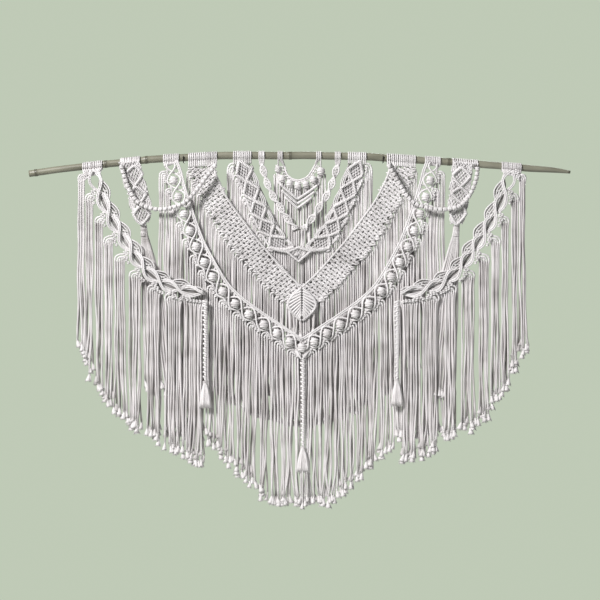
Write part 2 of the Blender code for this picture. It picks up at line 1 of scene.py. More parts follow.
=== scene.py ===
"""The looks of the macrame wall hanging: every cord, knot, bar and strand is swept along its own run.

The tables and working numbers are in millimetres, as in the part's source, and MM turns them into
metres as a mesh is made. Z is up and the front faces -Y. The tables of the bands repeat the CAD's,
so that the cords lie where the solids are.
"""
import math

import bpy
import numpy as np
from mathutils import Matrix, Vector


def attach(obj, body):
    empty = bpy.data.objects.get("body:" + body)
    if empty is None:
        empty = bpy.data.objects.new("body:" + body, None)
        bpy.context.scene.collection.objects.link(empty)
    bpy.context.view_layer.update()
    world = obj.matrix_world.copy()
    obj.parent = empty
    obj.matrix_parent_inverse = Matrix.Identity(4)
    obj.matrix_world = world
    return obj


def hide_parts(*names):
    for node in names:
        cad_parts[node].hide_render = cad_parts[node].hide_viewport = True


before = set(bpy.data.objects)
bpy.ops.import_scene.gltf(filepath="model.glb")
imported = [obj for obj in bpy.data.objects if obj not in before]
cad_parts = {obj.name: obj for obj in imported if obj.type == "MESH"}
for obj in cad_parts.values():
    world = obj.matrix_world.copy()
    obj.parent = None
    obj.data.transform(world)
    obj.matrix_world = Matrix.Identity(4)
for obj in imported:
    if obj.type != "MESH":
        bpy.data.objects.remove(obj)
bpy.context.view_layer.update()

MM = 0.001
CORD = 2.0               # radius of a hanging cord
FINE = 1.7               # radius of the cords that fill a band
TUFT = 16.0              # how far a brushed end reaches below its cord
AXES = np.eye(3)
BACKWARD = AXES[1]
DOWN = -AXES[2]

# Bamboo rod: x, z of the centreline, diameter; and x of its rings.
ROD = np.array((
    (-602, -40, 14.5), (-495, -26, 15.0), (-339, -9, 16.0), (-169, 0, 16.5), (0, 0, 16.5),
    (156, -3, 16.5), (319, -14, 16.0), (502, -28, 15.0), (554, -32, 12.0), (594, -37, 6.0),
))
ROD_NODES = (-587, -433, -343, -26, 324)
HOOK_PLACES = (-261, 179)

# Middle of each layer of cord, as y.
DEPTHS = {
    "crescent_fringe": 9.6, "crescent": 5.7, "diamond_fringe": 4.7, "spiral": -1.0,
    "spiral_fringe": 0.9, "diamond_band": -2.6, "net_fringe": -2.3, "net_band": -8.6,
    "leaf_fringe": -9.9, "leaf": -14.5, "berry_fringe": -10.4, "berry_band": -14.6, "tail": -15.0,
    "tongue": -20.0, "swag_fringe": -20.4, "swag": -25.0, "chain": -30.6, "braid": -27.0,
    "centre_braid": -16.3,
}

# Bands, from the rod to the centre: distance from the axis and z of the inner edge, and the same
# of the outer edge, where the fringe hangs. A heading is the first row alone.
SWAG_HEADING = (440, -37, 484, -44)
BERRY_HEADING = (271, -11, 306, -22)
TONGUE_HEADINGS = {"left": (357, -11, 401, -18), "right": (331, -14, 388, -19)}
NET_BAND = (
    (196, -22, 251, -26), (185, -53, 240, -56), (162, -99, 216, -103), (132, -141, 183, -161),
    (99, -185, 152, -207), (68, -221, 110, -253), (33, -260, 70, -297), (16, -276, 38, -322),
    (0, -291, 0, -328),
)
DIAMOND_BAND = (
    (106, -17, 147, -20), (89, -65, 141, -48), (67, -112, 119, -95), (52, -145, 106, -132),
    (31, -178, 88, -172), (10, -202, 64, -207), (4, -205, 26, -213), (0, -207, 0, -233),
)
DIAMOND_AXIS = -5.0      # the three inner bands hang a little left of the others
HEADING_CORDS = {"swag": 11, "tongue": 12, "berry": 9, "net": 13, "diamond": 10}

# Square knots: width, height, depth and radius of their cord.
KNOTS = {
    "swag": (7.0, 6.2, 6.4, 1.6), "berry": (6.8, 6.0, 6.2, 1.55), "net": (13.4, 10.2, 6.0, 1.95),
    "net_edge": (10.5, 9.0, 7.5, 1.9), "diamond": (6.5, 6.0, 6.0, 1.5), "crescent": (6.6, 7.0, 6.0, 1.6),
}
# Bars of half hitches: half width, half depth, and radius and pitch of the cord wound round them.
BARS = {
    "net": (3.0, 3.2, 1.35, 3.0), "diamond": (4.0, 3.4, 1.5, 3.5), "point": (3.4, 3.0, 1.2, 2.8),
    "tip": (3.2, 2.8, 1.2, 2.8), "tongue": (3.8, 3.3, 1.45, 3.4), "crescent": (3.1, 3.8, 1.3, 3.1),
    "leaf": (3.3, 3.2, 1.3, 2.8),
}

BOTH = (("left", -1), ("right", 1))


def unit(vectors):
    return vectors / np.maximum(np.linalg.norm(vectors, axis=-1, keepdims=True), 1e-9)


def smooth(points, step=3.0):
    """A smooth path through a few points, in steps of about that length (Catmull-Rom)."""
    points = np.asarray(points, dtype=float)
    padded = np.vstack((2 * points[0] - points[1], points, 2 * points[-1] - points[-2]))
    stretches = []
    for a, b, c, d in zip(padded, padded[1:], padded[2:], padded[3:]):
        count = max(1, math.ceil(np.linalg.norm((c - b)[:3]) / step))
        t = np.arange(count)[:, None] / count
        stretches.append(0.5 * (2 * b + (c - a) * t + (2 * a - 5 * b + 4 * c - d) * t ** 2
                                + (3 * b - a - 3 * c + d) * t ** 3))
    return np.vstack(stretches + [points[-1:]])


def distance_along(path):
    return np.concatenate(([0.0], np.cumsum(np.linalg.norm(np.diff(path, axis=0), axis=1))))


def at(path, where):
    """Points of a path at these distances along it."""
    along = distance_along(path)
    return np.stack([np.interp(where, along, path[:, k]) for k in range(path.shape[1])], axis=-1)


def even(path, step):
    length = distance_along(path)[-1]
    return at(path, np.linspace(0, length, max(2, round(length / step)) + 1))


def beside(path, distance, forward=0.0):
    """The path moved sideways in the plane of the hanging, and forward out of it."""
    right = unit(np.cross(np.gradient(path, axis=0), BACKWARD))
    return path + right * distance - BACKWARD * forward


def flat(x, z, y=0.0):
    return np.array((x, y, z), dtype=float)


def outline(rows, side, axis=0.0):
    """The closed outline, as x and z, of a half band."""
    samples = smooth(rows, 4.0)
    return np.vstack((samples[:, :2], samples[::-1, 2:])) * (side, 1) + (axis, 0)


def inside(points, loop):
    """Which points lie inside a closed outline."""
    x, z = points[:, 0, None], points[:, 1, None]
    ends = np.roll(loop, -1, axis=0)
    spans = (loop[:, 1] > z) != (ends[:, 1] > z)
    rise = np.where(ends[:, 1] == loop[:, 1], 1.0, ends[:, 1] - loop[:, 1])
    meet = loop[:, 0] + (z - loop[:, 1]) * (ends[:, 0] - loop[:, 0]) / rise
    return (spans & (x < meet)).sum(axis=1) % 2 == 1


def lattice(loop, origin, first, second):
    """The places of a lattice inside an outline, and each step from one to a place of the next row."""
    low, high = loop.min(axis=0), loop.max(axis=0)
    reach = int(np.linalg.norm(high - low) / min(np.linalg.norm(first), np.linalg.norm(second))) + 2
    counts = np.stack(np.meshgrid(np.arange(-reach, reach + 1), np.arange(-reach, reach + 1)), axis=-1)
    counts = counts.reshape(-1, 2)
    spots = np.array(origin) + counts[:, :1] * first + counts[:, 1:] * second
    within = inside(spots, loop)
    spots, counts = spots[within], counts[within]
    found = {tuple(count) for count in counts}
    steps = [(spot, step) for spot, count in zip(spots, counts)
             for step, ahead in ((first, (1, 0)), (second, (0, 1))) if tuple(count + ahead) in found]
    return spots, steps


class Course:
    """The line that a band follows, marked in cells; rise is the distance above it."""

    def __init__(self, marks, depth, side):
        marks = np.array([(side * x, depth, z) for x, z in marks], dtype=float)
        path = smooth(marks, 1.5)
        before, after = path[0] + (path[0] - path[1]) * 30, path[-1] + (path[-1] - path[-2]) * 30
        self.path = np.vstack((before, path, after))
        self.along = distance_along(self.path)
        self.marks = [self.along[np.linalg.norm(self.path - m, axis=1).argmin()] for m in marks]
        ahead = unit(np.gradient(self.path, axis=0))
        self.above = np.stack((side * ahead[:, 2], 0 * ahead[:, 0], -side * ahead[:, 0]), axis=1)

    def point(self, cell, rise, forward=0.0):
        """A point at a cell along the line, at a rise above it, and forward of it."""
        cells = np.arange(len(self.marks))
        pitch = self.marks[1] - self.marks[0], self.marks[-1] - self.marks[-2]
        where = np.interp(cell, cells, self.marks)
        where = where + np.minimum(cell, 0) * pitch[0] + np.maximum(cell - cells[-1], 0) * pitch[1]
        spot, above = (np.stack([np.interp(where, self.along, table[:, k]) for k in range(3)], axis=-1)
                       for table in (self.path, self.above))
        rise, forward = np.asarray(rise)[..., None], np.asarray(forward)[..., None]
        return spot + above * rise - BACKWARD * forward

    def points(self, *stops):
        """The points at stops of (cell, rise, forward)."""
        return [self.point(*stop) for stop in stops]

    def cell_at(self, x, rise):
        """The cell where the line at this rise has this x."""
        cells = np.linspace(-1, len(self.marks), 400)
        return float(cells[np.abs(self.point(cells, rise)[:, 0] - x).argmin()])


class Band:
    """The two edges of a half band, read at a fraction of its length."""

    def __init__(self, rows, depth, side):
        self.samples = smooth(rows, 2.0)
        middle = (self.samples[:, :2] + self.samples[:, 2:]) / 2
        along = distance_along(middle)
        self.fractions = along / along[-1]
        self.side, self.depth = side, depth

    def point(self, place, across, forward=0.0):
        """A point at a fraction along the band and a fraction across it, inner edge first."""
        inner_x, inner_z, outer_x, outer_z = (
            np.interp(place, self.fractions, self.samples[:, k]) for k in range(4))
        x = self.side * (inner_x + (outer_x - inner_x) * across)
        z = inner_z + (outer_z - inner_z) * across
        return np.stack(np.broadcast_arrays(x, self.depth - forward, z), axis=-1)


def read_down(table, z):
    """The columns of a table whose first one is a falling z, read at other heights."""
    return [np.interp(-z, -table[:, 0], column) for column in table.T[1:]]


def spread(first, last, count):
    """The middles of equal stretches between two ends."""
    return first + (last - first) * (np.arange(count) + 0.5) / count


def rod_at(x):
    """The rod's height and radius at x."""
    along, height, across = ROD.T
    return np.interp(x, along, height), np.interp(x, along, across) / 2


def round_rod(x, z, reach, degrees):
    """A point at this reach from the rod's axis, turned from under the rod towards its front."""
    turn = math.radians(degrees)
    return x, -reach * math.sin(turn), z - reach * math.cos(turn)


class Cords:
    """Swept cords, gathered into one mesh."""

    def __init__(self, seed):
        self.random = np.random.default_rng(seed)
        self.swept = []

    def lay(self, path, radius=CORD, sides=6, closed=False, tint=None, plain=False):
        """Sweeps a ring of corners along a path; the radius may change on the way, and a plain cord
        shows no plies."""
        path = np.asarray(path, dtype=float)
        step = np.roll(path, -1, 0) - np.roll(path, 1, 0) if closed else np.gradient(path, axis=0)
        ahead = unit(step)
        reach = np.linalg.norm(np.cross(AXES[:, None], ahead[None]), axis=2).min(axis=1)
        side = unit(np.cross(ahead, AXES[reach.argmax()]))
        up = np.cross(side, ahead)
        turn = 2 * math.pi * np.arange(sides) / sides
        radius = np.broadcast_to(np.asarray(radius, dtype=float), len(path))[:, None, None]
        ring = path[:, None] + radius * (np.cos(turn)[None, :, None] * side[:, None]
                                         + np.sin(turn)[None, :, None] * up[:, None])
        self.swept.append((ring, path, closed, self.random.random() if tint is None else tint, plain))

    def strand(self, points, radius=FINE, sides=5, tint=None, step=3.0):
        """A cord that runs smoothly through a few points."""
        self.lay(smooth(points, step), radius, sides, tint=tint)

    def turn(self, centre, down, half_width, half_depth, radius, slant, corners=10, sides=5, tint=None):
        """One turn of cord round a core that runs along down; it leans by slant at its sides."""
        angle = 2 * math.pi * np.arange(corners)[:, None] / corners
        down = unit(np.asarray(down, dtype=float))
        right = unit(np.cross(down, BACKWARD))
        self.lay(np.asarray(centre) + right * half_width * np.cos(angle)
                 + BACKWARD * half_depth * np.sin(angle) + down * slant * np.cos(angle),
                 radius, sides, closed=True, tint=tint)

    def knot(self, centre, down, width, height, depth, radius):
        """A square knot: two turns that lean opposite ways."""
        down = unit(np.asarray(down, dtype=float))
        for place, lean in ((-0.25, 1), (0.25, -1)):
            self.turn(np.asarray(centre) + down * height * place, down, width / 2 - radius,
                      depth / 2 - radius, radius, lean * height * 0.11)

    def bar(self, path, hand, half_width, half_depth, radius, pitch):
        """A row of half hitches: a cord wound closely round another."""
        path = even(path, pitch / 8)
        ahead = unit(np.gradient(path, axis=0))
        right = unit(np.cross(ahead, BACKWARD))
        angle = hand * 2 * math.pi * np.arange(len(path))[:, None] / 8
        tint = self.random.uniform(0.8, 1.0)
        self.lay(path + right * (half_width - radius) * np.cos(angle)
                 + BACKWARD * (half_depth - radius) * np.sin(angle), radius, 5, tint=tint)
        self.lay(even(path, 6.0), half_depth - 0.7 * radius, 6, tint=tint)

    def net(self, loop, depth, origin, first, second, size, leg_radius):
        """Square knots at the places of a lattice inside an outline, with a pair of cords from
        each knot to both of the next row."""
        spots, steps = lattice(loop, origin, first, second)
        for spot in spots:
            self.knot(flat(*spot, depth + self.random.uniform(-0.4, 0.4)), flat(*(first + second)), *size)
        for spot, step in steps:
            path = np.array([flat(*spot, depth) + flat(*step) * t for t in (0.22, 0.5, 0.78)])
            path[1, 1] -= 0.5
            for shift in (-0.9 * leg_radius, 0.9 * leg_radius):
                self.lay(beside(path, shift), leg_radius, 4)

    def backing(self, loop, depth, way, pitch=4.6, radius=2.1):
        """The working cords that run behind a net, side by side and in its shade; their colour is painted
        dark as that shade.
        """
        way = unit(np.array(way, dtype=float))
        across = np.array((-way[1], way[0]))
        middle, reach = loop.mean(axis=0), np.linalg.norm(loop - loop.mean(axis=0), axis=1).max()
        steps = np.arange(-reach, reach, 5.0)
        for shift in np.arange(-reach, reach, pitch):
            line = middle + across * shift + way * steps[:, None]
            within = inside(line, loop)
            for run in np.split(np.arange(len(line)), np.flatnonzero(np.diff(within)) + 1):
                if within[run[0]] and len(run) > 2:
                    run = line[run[::2]]
                    # A tint of -1 to -0.5 paints these cords dark: painted shade.
                    self.lay(np.stack((run[:, 0], np.full(len(run), depth), run[:, 1]), axis=1), radius, 5,
                             tint=self.random.uniform(-1.0, -0.5))

    def tuft(self, end, length=TUFT, spread=5.6, tint=1.0):
        """The brushed end of a cord: it flares to a ragged edge."""
        fibres = 9
        lean = self.random.uniform(-0.3, 0.3) * length
        spread *= self.random.uniform(0.8, 1.25)
        middle = [end + flat(lean * t, -length * t) for t in (-0.2, 0.0, 0.35, 0.7, 0.94)]
        self.lay(middle, (2.0, 1.9, 0.46 * spread, 0.7 * spread, 0.92 * spread), 7, tint=tint, plain=True)
        for n in range(fibres):
            around = 2 * math.pi * (n + self.random.uniform(0, 0.8)) / fibres
            way = np.array((math.cos(around) * spread, 0.6 * math.sin(around) * spread, 0.0))
            drop = length * self.random.uniform(0.9, 1.15)
            points = [end + way * s + flat(lean * t, -drop * t)
                      for s, t in ((0.3, 0.1), (0.72, 0.7), (1.12, 1.0))]
            self.lay(points, (0.9, 1.1, 0.6), 3, tint=tint, plain=True)

    def make(self, name, *nodes, look):
        """Builds the piece that replaces nodes. One map runs along the cords, the other gives each
        cord a cell of its own, and each cord has a tint."""
        cells = math.ceil(math.sqrt(len(self.swept)))
        columns = [[] for _ in range(7)]
        base = 0
        for number, (ring, path, closed, tint, plain) in enumerate(self.swept):
            count, sides = ring.shape[:2]
            index = base + np.arange(count * sides).reshape(count, sides)
            base += count * sides
            if closed:
                index, path = np.vstack((index, index[:1])), np.vstack((path, path[:1]))
            run = distance_along(path) * MM
            loops, maps, faces = cord_faces(index, run, closed)
            cell = np.array((number % cells, number // cells), dtype=float)
            bake = cell / cells + (0.06 + 0.88 * maps / (max(run[-1], 1e-6), 1.0)) / cells
            caps = np.arange(len(faces)) >= (len(index) - 1) * sides
            places = ring.reshape(-1, 3)
            shown = 0 * maps if plain else maps
            for column, values in zip(columns, (places, loops, faces, shown, bake,
                                                np.full(len(places), tint), caps)):
                column.append(values)
        corners, loops, faces, maps, bakes, tints, caps = map(np.concatenate, columns)
        mesh = bpy.data.meshes.new(name)
        mesh.vertices.add(len(corners))
        mesh.vertices.foreach_set("co", (corners * MM).ravel())
        mesh.loops.add(len(loops))
        mesh.loops.foreach_set("vertex_index", loops.astype(np.int32))
        mesh.polygons.add(len(faces))
        mesh.polygons.foreach_set("loop_start", (np.cumsum(faces) - faces).astype(np.int32))
        mesh.polygons.foreach_set("loop_total", faces.astype(np.int32))
        mesh.update(calc_edges=True)
        mesh.shade_smooth()
        mesh.attributes.new("sharp_face", "BOOLEAN", "FACE").data.foreach_set("value", caps)
        for layer, values in (("cord", maps), ("OFBake", bakes)):
            mesh.uv_layers.new(name=layer).data.foreach_set("uv", values.ravel())
        mesh.attributes.new("tint", "FLOAT", "POINT").data.foreach_set("value", tints)
        slot, material = look
        mesh.materials.append(material)
        piece = bpy.data.objects.new(name, mesh)
        bpy.context.collection.objects.link(piece)
        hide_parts(*nodes)
        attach(piece, "root")
        return piece


def cord_faces(index, run, closed):
    """The corners of a swept cord's faces, their places along and round it, and each face's number
    of corners. An open cord ends in two caps."""
    sides = index.shape[1]
    quads = np.stack((index[:-1], index[1:], np.roll(index[1:], -1, 1), np.roll(index[:-1], -1, 1)), axis=2)
    around = np.arange(sides) / sides
    u = np.stack((run[:-1], run[1:], run[1:], run[:-1]), axis=1)[:, None]
    v = np.stack((around, around, around + 1 / sides, around + 1 / sides), axis=1)[None]
    loops, maps = [quads.reshape(-1)], [np.stack(np.broadcast_arrays(u, v), axis=-1).reshape(-1, 2)]
    faces = [4] * (quads.size // 4)
    if not closed:
        loops += [index[0], index[-1][::-1]]
        maps += [np.stack((np.full(sides, end), around), axis=-1) for end in (0.0, run[-1])]
        faces += [sides, sides]
    return np.concatenate(loops), np.concatenate(maps), np.array(faces)


# ---------------------------------------------------------------------------------- materials

def new_material(name, **settings):
    """A material, its node tree and its shader, with these numbers set on the shader."""
    material = bpy.data.materials.new(name)
    material.use_nodes = True
    shader = material.node_tree.nodes["Principled BSDF"]
    for key, value in settings.items():
        shader.inputs[key.replace("_", " ")].default_value = value
    return material, material.node_tree, shader


def add_node(tree, kind, **inputs):
    """The outputs of a new node; an input is linked where a socket is given and else set."""
    node = tree.nodes.new(kind)
    for key, value in inputs.items():
        if key in ("operation", "attribute_name", "uv_map"):
            setattr(node, key, value)
            continue
        socket = node.inputs[int(key[1:]) if key[0] == "_" else key]
        if isinstance(value, bpy.types.NodeSocket):
            tree.links.new(value, socket)
        else:
            socket.default_value = value
    return node.outputs


def add_math(tree, operation, *terms):
    numbered = {f"_{n}": term for n, term in enumerate(terms)}
    return add_node(tree, "ShaderNodeMath", operation=operation, **numbered)[0]


def add_noise(tree, place, scale, detail, **inputs):
    return add_node(tree, "ShaderNodeTexNoise", Vector=place, Scale=scale, Detail=detail, **inputs)[0]


def colour_by(tree, shader, factor, *stops):
    """Colours the shader by a factor, from stops of place and colour."""
    ramp = tree.nodes.new("ShaderNodeValToRGB")
    elements = ramp.color_ramp.elements
    for n, (place, colour) in enumerate(stops):
        stop = elements[n] if n < 2 else elements.new(place)
        stop.position, stop.color = place, (*colour, 1)
    tree.links.new(factor, ramp.inputs[0])
    tree.links.new(ramp.outputs[0], shader.inputs["Base Color"])


def emboss(tree, shader, height, strength, distance):
    bump = add_node(tree, "ShaderNodeBump", Strength=strength, Distance=distance, Height=height)
    tree.links.new(bump[0], shader.inputs["Normal"])


PLIES = 3
LAY = 0.015              # metres of cord in which a ply winds once round it


def cotton(name, light, shade, deep):
    """Twisted cotton: three plies wind along each cord, over fine fibres and a little unevenness.
    The colour dips along the grooves between the plies, which is painted shade. A tint below zero
    gives the darkest colour, painted shade for the cords that lie deepest in the gaps."""
    material, tree, shader = new_material(
        name, Roughness=0.88, Sheen_Weight=0.25, Sheen_Roughness=0.5, Specular_IOR_Level=0.25)
    along, around, _ = add_node(
        tree, "ShaderNodeSeparateXYZ", _0=add_node(tree, "ShaderNodeUVMap", uv_map="cord")[0])
    wound = add_math(tree, "MULTIPLY", along, 2 * math.pi * PLIES / LAY)
    wave = add_math(tree, "SINE", add_math(tree, "MULTIPLY_ADD", around, 2 * math.pi * PLIES, wound))
    place = add_node(tree, "ShaderNodeTexCoord")["Object"]
    fibres = add_noise(tree, place, 900.0, 3.0)
    emboss(tree, shader, add_math(tree, "MULTIPLY_ADD", wave, 0.5, fibres), 0.55, 0.0006)
    tint = add_node(tree, "ShaderNodeAttribute", attribute_name="tint")["Fac"]
    # The tone varies at random with the tint and a noise; a tint below zero paints shade.
    tone_and_shade = add_math(tree, "MULTIPLY_ADD", tint, 0.35, add_noise(tree, place, 28.0, 2.0))
    # The colour dips along the grooves between the plies: painted shade.
    tone_and_groove_shade = add_math(tree, "MULTIPLY_ADD", wave, 0.13, tone_and_shade)
    # The stop at 0.1 (deep) is painted shade; the negative tints of cords in the gaps reach it.
    colour_by(tree, shader, tone_and_groove_shade, (0.35, shade), (0.85, light), (0.1, deep))
    return name, material


def bamboo():
    """Seasoned bamboo: long streaks, darker rings and a satin skin."""
    material, tree, shader = new_material("bamboo", Roughness=0.42, Coat_Weight=0.12, Coat_Roughness=0.35)
    place = add_node(tree, "ShaderNodeTexCoord")["Object"]
    stretched = add_node(tree, "ShaderNodeMapping", Vector=place, Scale=(6.0, 160.0, 160.0))[0]
    streaks = add_noise(tree, stretched, 1.0, 5.0, Roughness=0.6)
    blotches = add_math(tree, "MULTIPLY", add_noise(tree, place, 14.0, 3.0), 0.45)
    mixed = add_math(tree, "MULTIPLY_ADD", streaks, 0.55, blotches)
    ring = add_node(tree, "ShaderNodeAttribute", attribute_name="ring")["Fac"]
    darker = add_math(tree, "MULTIPLY_ADD", ring, -0.5, mixed)
    colour_by(tree, shader, darker, (0.2, (0.115, 0.112, 0.08)), (0.72, (0.32, 0.315, 0.24)))
    emboss(tree, shader, streaks, 0.35, 0.0005)
    return "bamboo", material


def dark_metal():
    material, tree, shader = new_material("hook_metal", Metallic=0.9, Roughness=0.42)
    grain = add_noise(tree, add_node(tree, "ShaderNodeTexCoord")["Object"], 700.0, 3.0)
    colour_by(tree, shader, grain, (0.0, (0.035, 0.033, 0.03)), (1.0, (0.1, 0.095, 0.085)))
    return "hook_metal", material


# The third colour of each cotton is painted shade for cords in the gaps. The fringe cotton is the same cotton
# painted darker, as shade among the hanging cords.
KNOTTED = cotton("knotted_cotton", (0.83, 0.812, 0.81), (0.58, 0.56, 0.557), (0.19, 0.18, 0.17))
HANGING = cotton("fringe_cotton", (0.755, 0.732, 0.73), (0.45, 0.428, 0.42), (0.17, 0.16, 0.15))
BAMBOO = bamboo()
METAL = dark_metal()


# ------------------------------------------------------------------------------- rod and hooks

def make_rod():
    """The bamboo rod: a bowed, tapering pole with a double lip at each ring."""
    sides = 28
    places = np.arange(ROD[0, 0], ROD[-1, 0] + 1, 6.0)
    lips = ((-4.5, 0.0, 0.0), (-2.6, 0.55, 0.3), (-1.2, 0.75, 0.9), (0.0, 0.15, 1.0),
            (1.2, 0.85, 0.9), (2.8, 0.5, 0.3), (5.0, 0.0, 0.0))
    table = [(x, 0.0, 0.0) for x in places if min(abs(x - n) for n in ROD_NODES) > 7]
    table += [(node + dx, rise, dark) for node in ROD_NODES for dx, rise, dark in lips]
    table = np.array(sorted(table))
    z, radius = rod_at(table[:, 0])
    wander = 0.35 * np.sin(table[:, 0] * 0.021) + 0.25 * np.sin(table[:, 0] * 0.057 + 1)
    path = np.stack((table[:, 0], np.zeros(len(table)), z + wander), axis=1)
    cords = Cords(40)
    cords.lay(path, radius + table[:, 1], sides)
    piece = cords.make("bamboo_rod", "rod", look=BAMBOO)
    rings = piece.data.attributes.new("ring", "FLOAT", "POINT")
    rings.data.foreach_set("value", np.repeat(table[:, 2], sides))


def make_hooks():
    for (name, _), x in zip(BOTH, HOOK_PLACES):
        z, radius = rod_at(x)
        reach = radius + 1.9
        points = [(x, 14.8, z - reach), (x, 8.0, z - reach)]
        points += [round_rod(x, z, reach, degrees) for degrees in (0, 30, 60, 88)]
        points.append((x, -reach - 1.2, z + 3.4))
        cords = Cords(41)
        path = smooth(points, 1.5)
        cords.lay(path, np.r_[np.full(len(path) - 2, 1.4), 1.1, 0.5], 10)
        cords.make(f"wall_hook_wire_{name}", f"wall_hook_{name}", look=METAL)


# -------------------------------------------------------------------------------------- bands

def loop_over_rod(cords, x, front_foot, back_foot):
    """One cord up the front of the rod, over it and down its back; it lies thinner on the top."""
    z, rod_radius = rod_at(x)
    points = [(*front_foot, CORD)]
    for degrees in range(40, 341, 25):
        thick = CORD * (1 - 0.35 * max(0.0, -math.cos(math.radians(degrees))) ** 2)
        points.append((*round_rod(x, z, rod_radius + thick, degrees), thick))
    points.append((*back_foot, CORD))
    run = smooth(points, 4.0)
    cords.lay(run[:, :3], run[:, 3], 6)


def heading(cords, row, depth, side, count, axis=0.0, gather=1.0):
    """Cords looped over the rod side by side, both ends running down to the band's first row."""
    inner_x, inner_z, outer_x, outer_z = row
    for share in spread(0.0, 1.0, count):
        x = axis + side * (inner_x + (outer_x - inner_x) * share) + cords.random.uniform(-0.3, 0.3)
        middle = axis + side * (inner_x + outer_x) / 2
        foot = flat(middle + (x - middle) * gather, inner_z + (outer_z - inner_z) * share
                    - 1.0 - 16.0 * (1 - gather), depth)
        loop_over_rod(cords, x, foot, foot + (0, 2.5, 0))


# Two strands that twine: how wide they swing round the first cell and round the others, where in
# a cell they cross, how deep the crossing is, radius of a cord and number in a strand, how much of
# the swing is left at both ends, and how far forward they lie.
TWINES = {
    "swag": dict(first_swing=12.6, swing=11.6, phase=0.0, cross=3.2, radius=1.65, strand=2,
                 ends=(1.0, 0.4), forward=1.6),
    "berry": dict(first_swing=14.6, swing=14.6, phase=-0.5, cross=2.2, radius=2.0, strand=1,
                  ends=(0.5, 0.0), forward=3.0),
}


def twined_pairs(cords, course, cells, first_swing, swing, phase, cross, radius, strand, ends, forward):
    """Two strands of cords that part round each cell and cross between them. The strand that
    comes down from above always crosses over."""
    cell = np.linspace(0, cells, cells * 16 + 1)
    turn = math.pi * (cell + phase)
    fade = np.interp(cell, (0, 0.4, cells - 0.6, cells), (ends[0], 1, 1, ends[1]))
    for hand in (1, -1):
        wide = np.interp(cell, (0, 1, 1.5), (first_swing, first_swing, swing))
        path = course.point(cell, hand * wide * fade * np.sin(turn), -hand * cross * np.cos(turn) + forward)
        for n in range(strand):
            cords.lay(beside(path, (n - (strand - 1) / 2) * 2 * radius), radius, 8, tint=1.0)


def turn_down(starts, feet, depth):
    """Where cords that leave a band at these places have turned down, to hang at these x."""
    downs = np.array(starts, dtype=float)
    reach = np.abs(feet - downs[:, 0])
    downs[:, 0], downs[:, 1] = feet, depth
    downs[:, 2] -= 6.0 + 0.4 * reach
    return downs


def arch(cords, start, down):
    """A cord that leaves a band sideways and turns down to hang."""
    way = down - start
    shares = ((0.0, 0.0), (0.5, 0.03), (0.86, 0.26), (1.0, 0.65), (1.0, 1.0))
    cords.strand([start + (way[0] * s, way[1] * s - 1.4 * math.sin(math.pi * s), way[2] * d)
                  for s, d in shares], 2.1, 6, cords.random.uniform(0.6, 1))


def arches(cords, starts, downs):
    for start, down in zip(starts, downs):
        arch(cords, start, down)


SWAG_LINE = (
    (460, -35), (445, -81), (424, -130), (400, -172), (375, -211), (348, -248), (312, -278),
    (270, -296), (216, -304),
)
# Bundles of the swag's fringe: outer and inner x, number of cords, the cells that they leave the
# strand at, and how far below its line.
SWAG_GROUPS = (
    (490, 478, 4, 0.00, 0.30, 17), (474, 459, 4, 0.95, 1.40, 9), (453, 438, 4, 1.95, 2.42, 9),
    (434, 415, 5, 2.94, 3.45, 9), (410, 389, 5, 3.94, 4.45, 9), (378, 351, 6, 4.88, 5.45, 9),
    (338, 312, 6, 5.85, 6.40, 9), (300, 264, 8, 6.70, 7.20, 9), (258, 217, 9, 7.25, 7.95, 9),
)
SWAG_CELLS = 8           # eyes between the two strands
PETALS = 4
PETAL_REACH = 23.0       # rise of the outer petal; at the swag's end the petals are cut shorter
# Cords in an eye: rise, how far back they lie and tint. The three at the back have a tint of -1: painted
# shade that darkens the slit.
EYE_CORDS = ((-6.9, 1.4, 0.9), (-4.0, 2.2, 0.5), (4.0, 2.2, 0.5), (6.9, 1.4, 0.9),
             (-2.4, 5.2, -1.0), (0.2, 5.2, -1.0), (2.6, 5.2, -1.0))
PATCH_RISE = -19.0       # the lower edge of the patch of knots beside each crossing
# Cords from the heading to the first petal: distance from the axis; cell and rise of their foot.
FIRST_CORDS = ((441, 0.45, 14.5), (444, 0.40, 11.5))


def swag_bundles(side):
    """For each bundle, where its cords leave the patch of knots beside the strand and where they
    have turned down; the outermost leaves from the patch's upper corner."""
    course = Course(SWAG_LINE, DEPTHS["swag"], side)
    bundles = []
    for outer, inner, count, first, last, below in SWAG_GROUPS:
        feet = side * np.linspace(outer, inner, count)
        cells = [min(max(course.cell_at(x, PATCH_RISE), first + 0.12), last) for x in feet]
        cells[0] = (cells[1] + first) / 2
        rises = np.append(-below - 4.0, np.full(count - 1, PATCH_RISE))
        starts = course.point(np.array(cells), rises, -0.6)
        bundles.append((starts, turn_down(starts, feet, DEPTHS["swag"] + 0.8)))
    return bundles


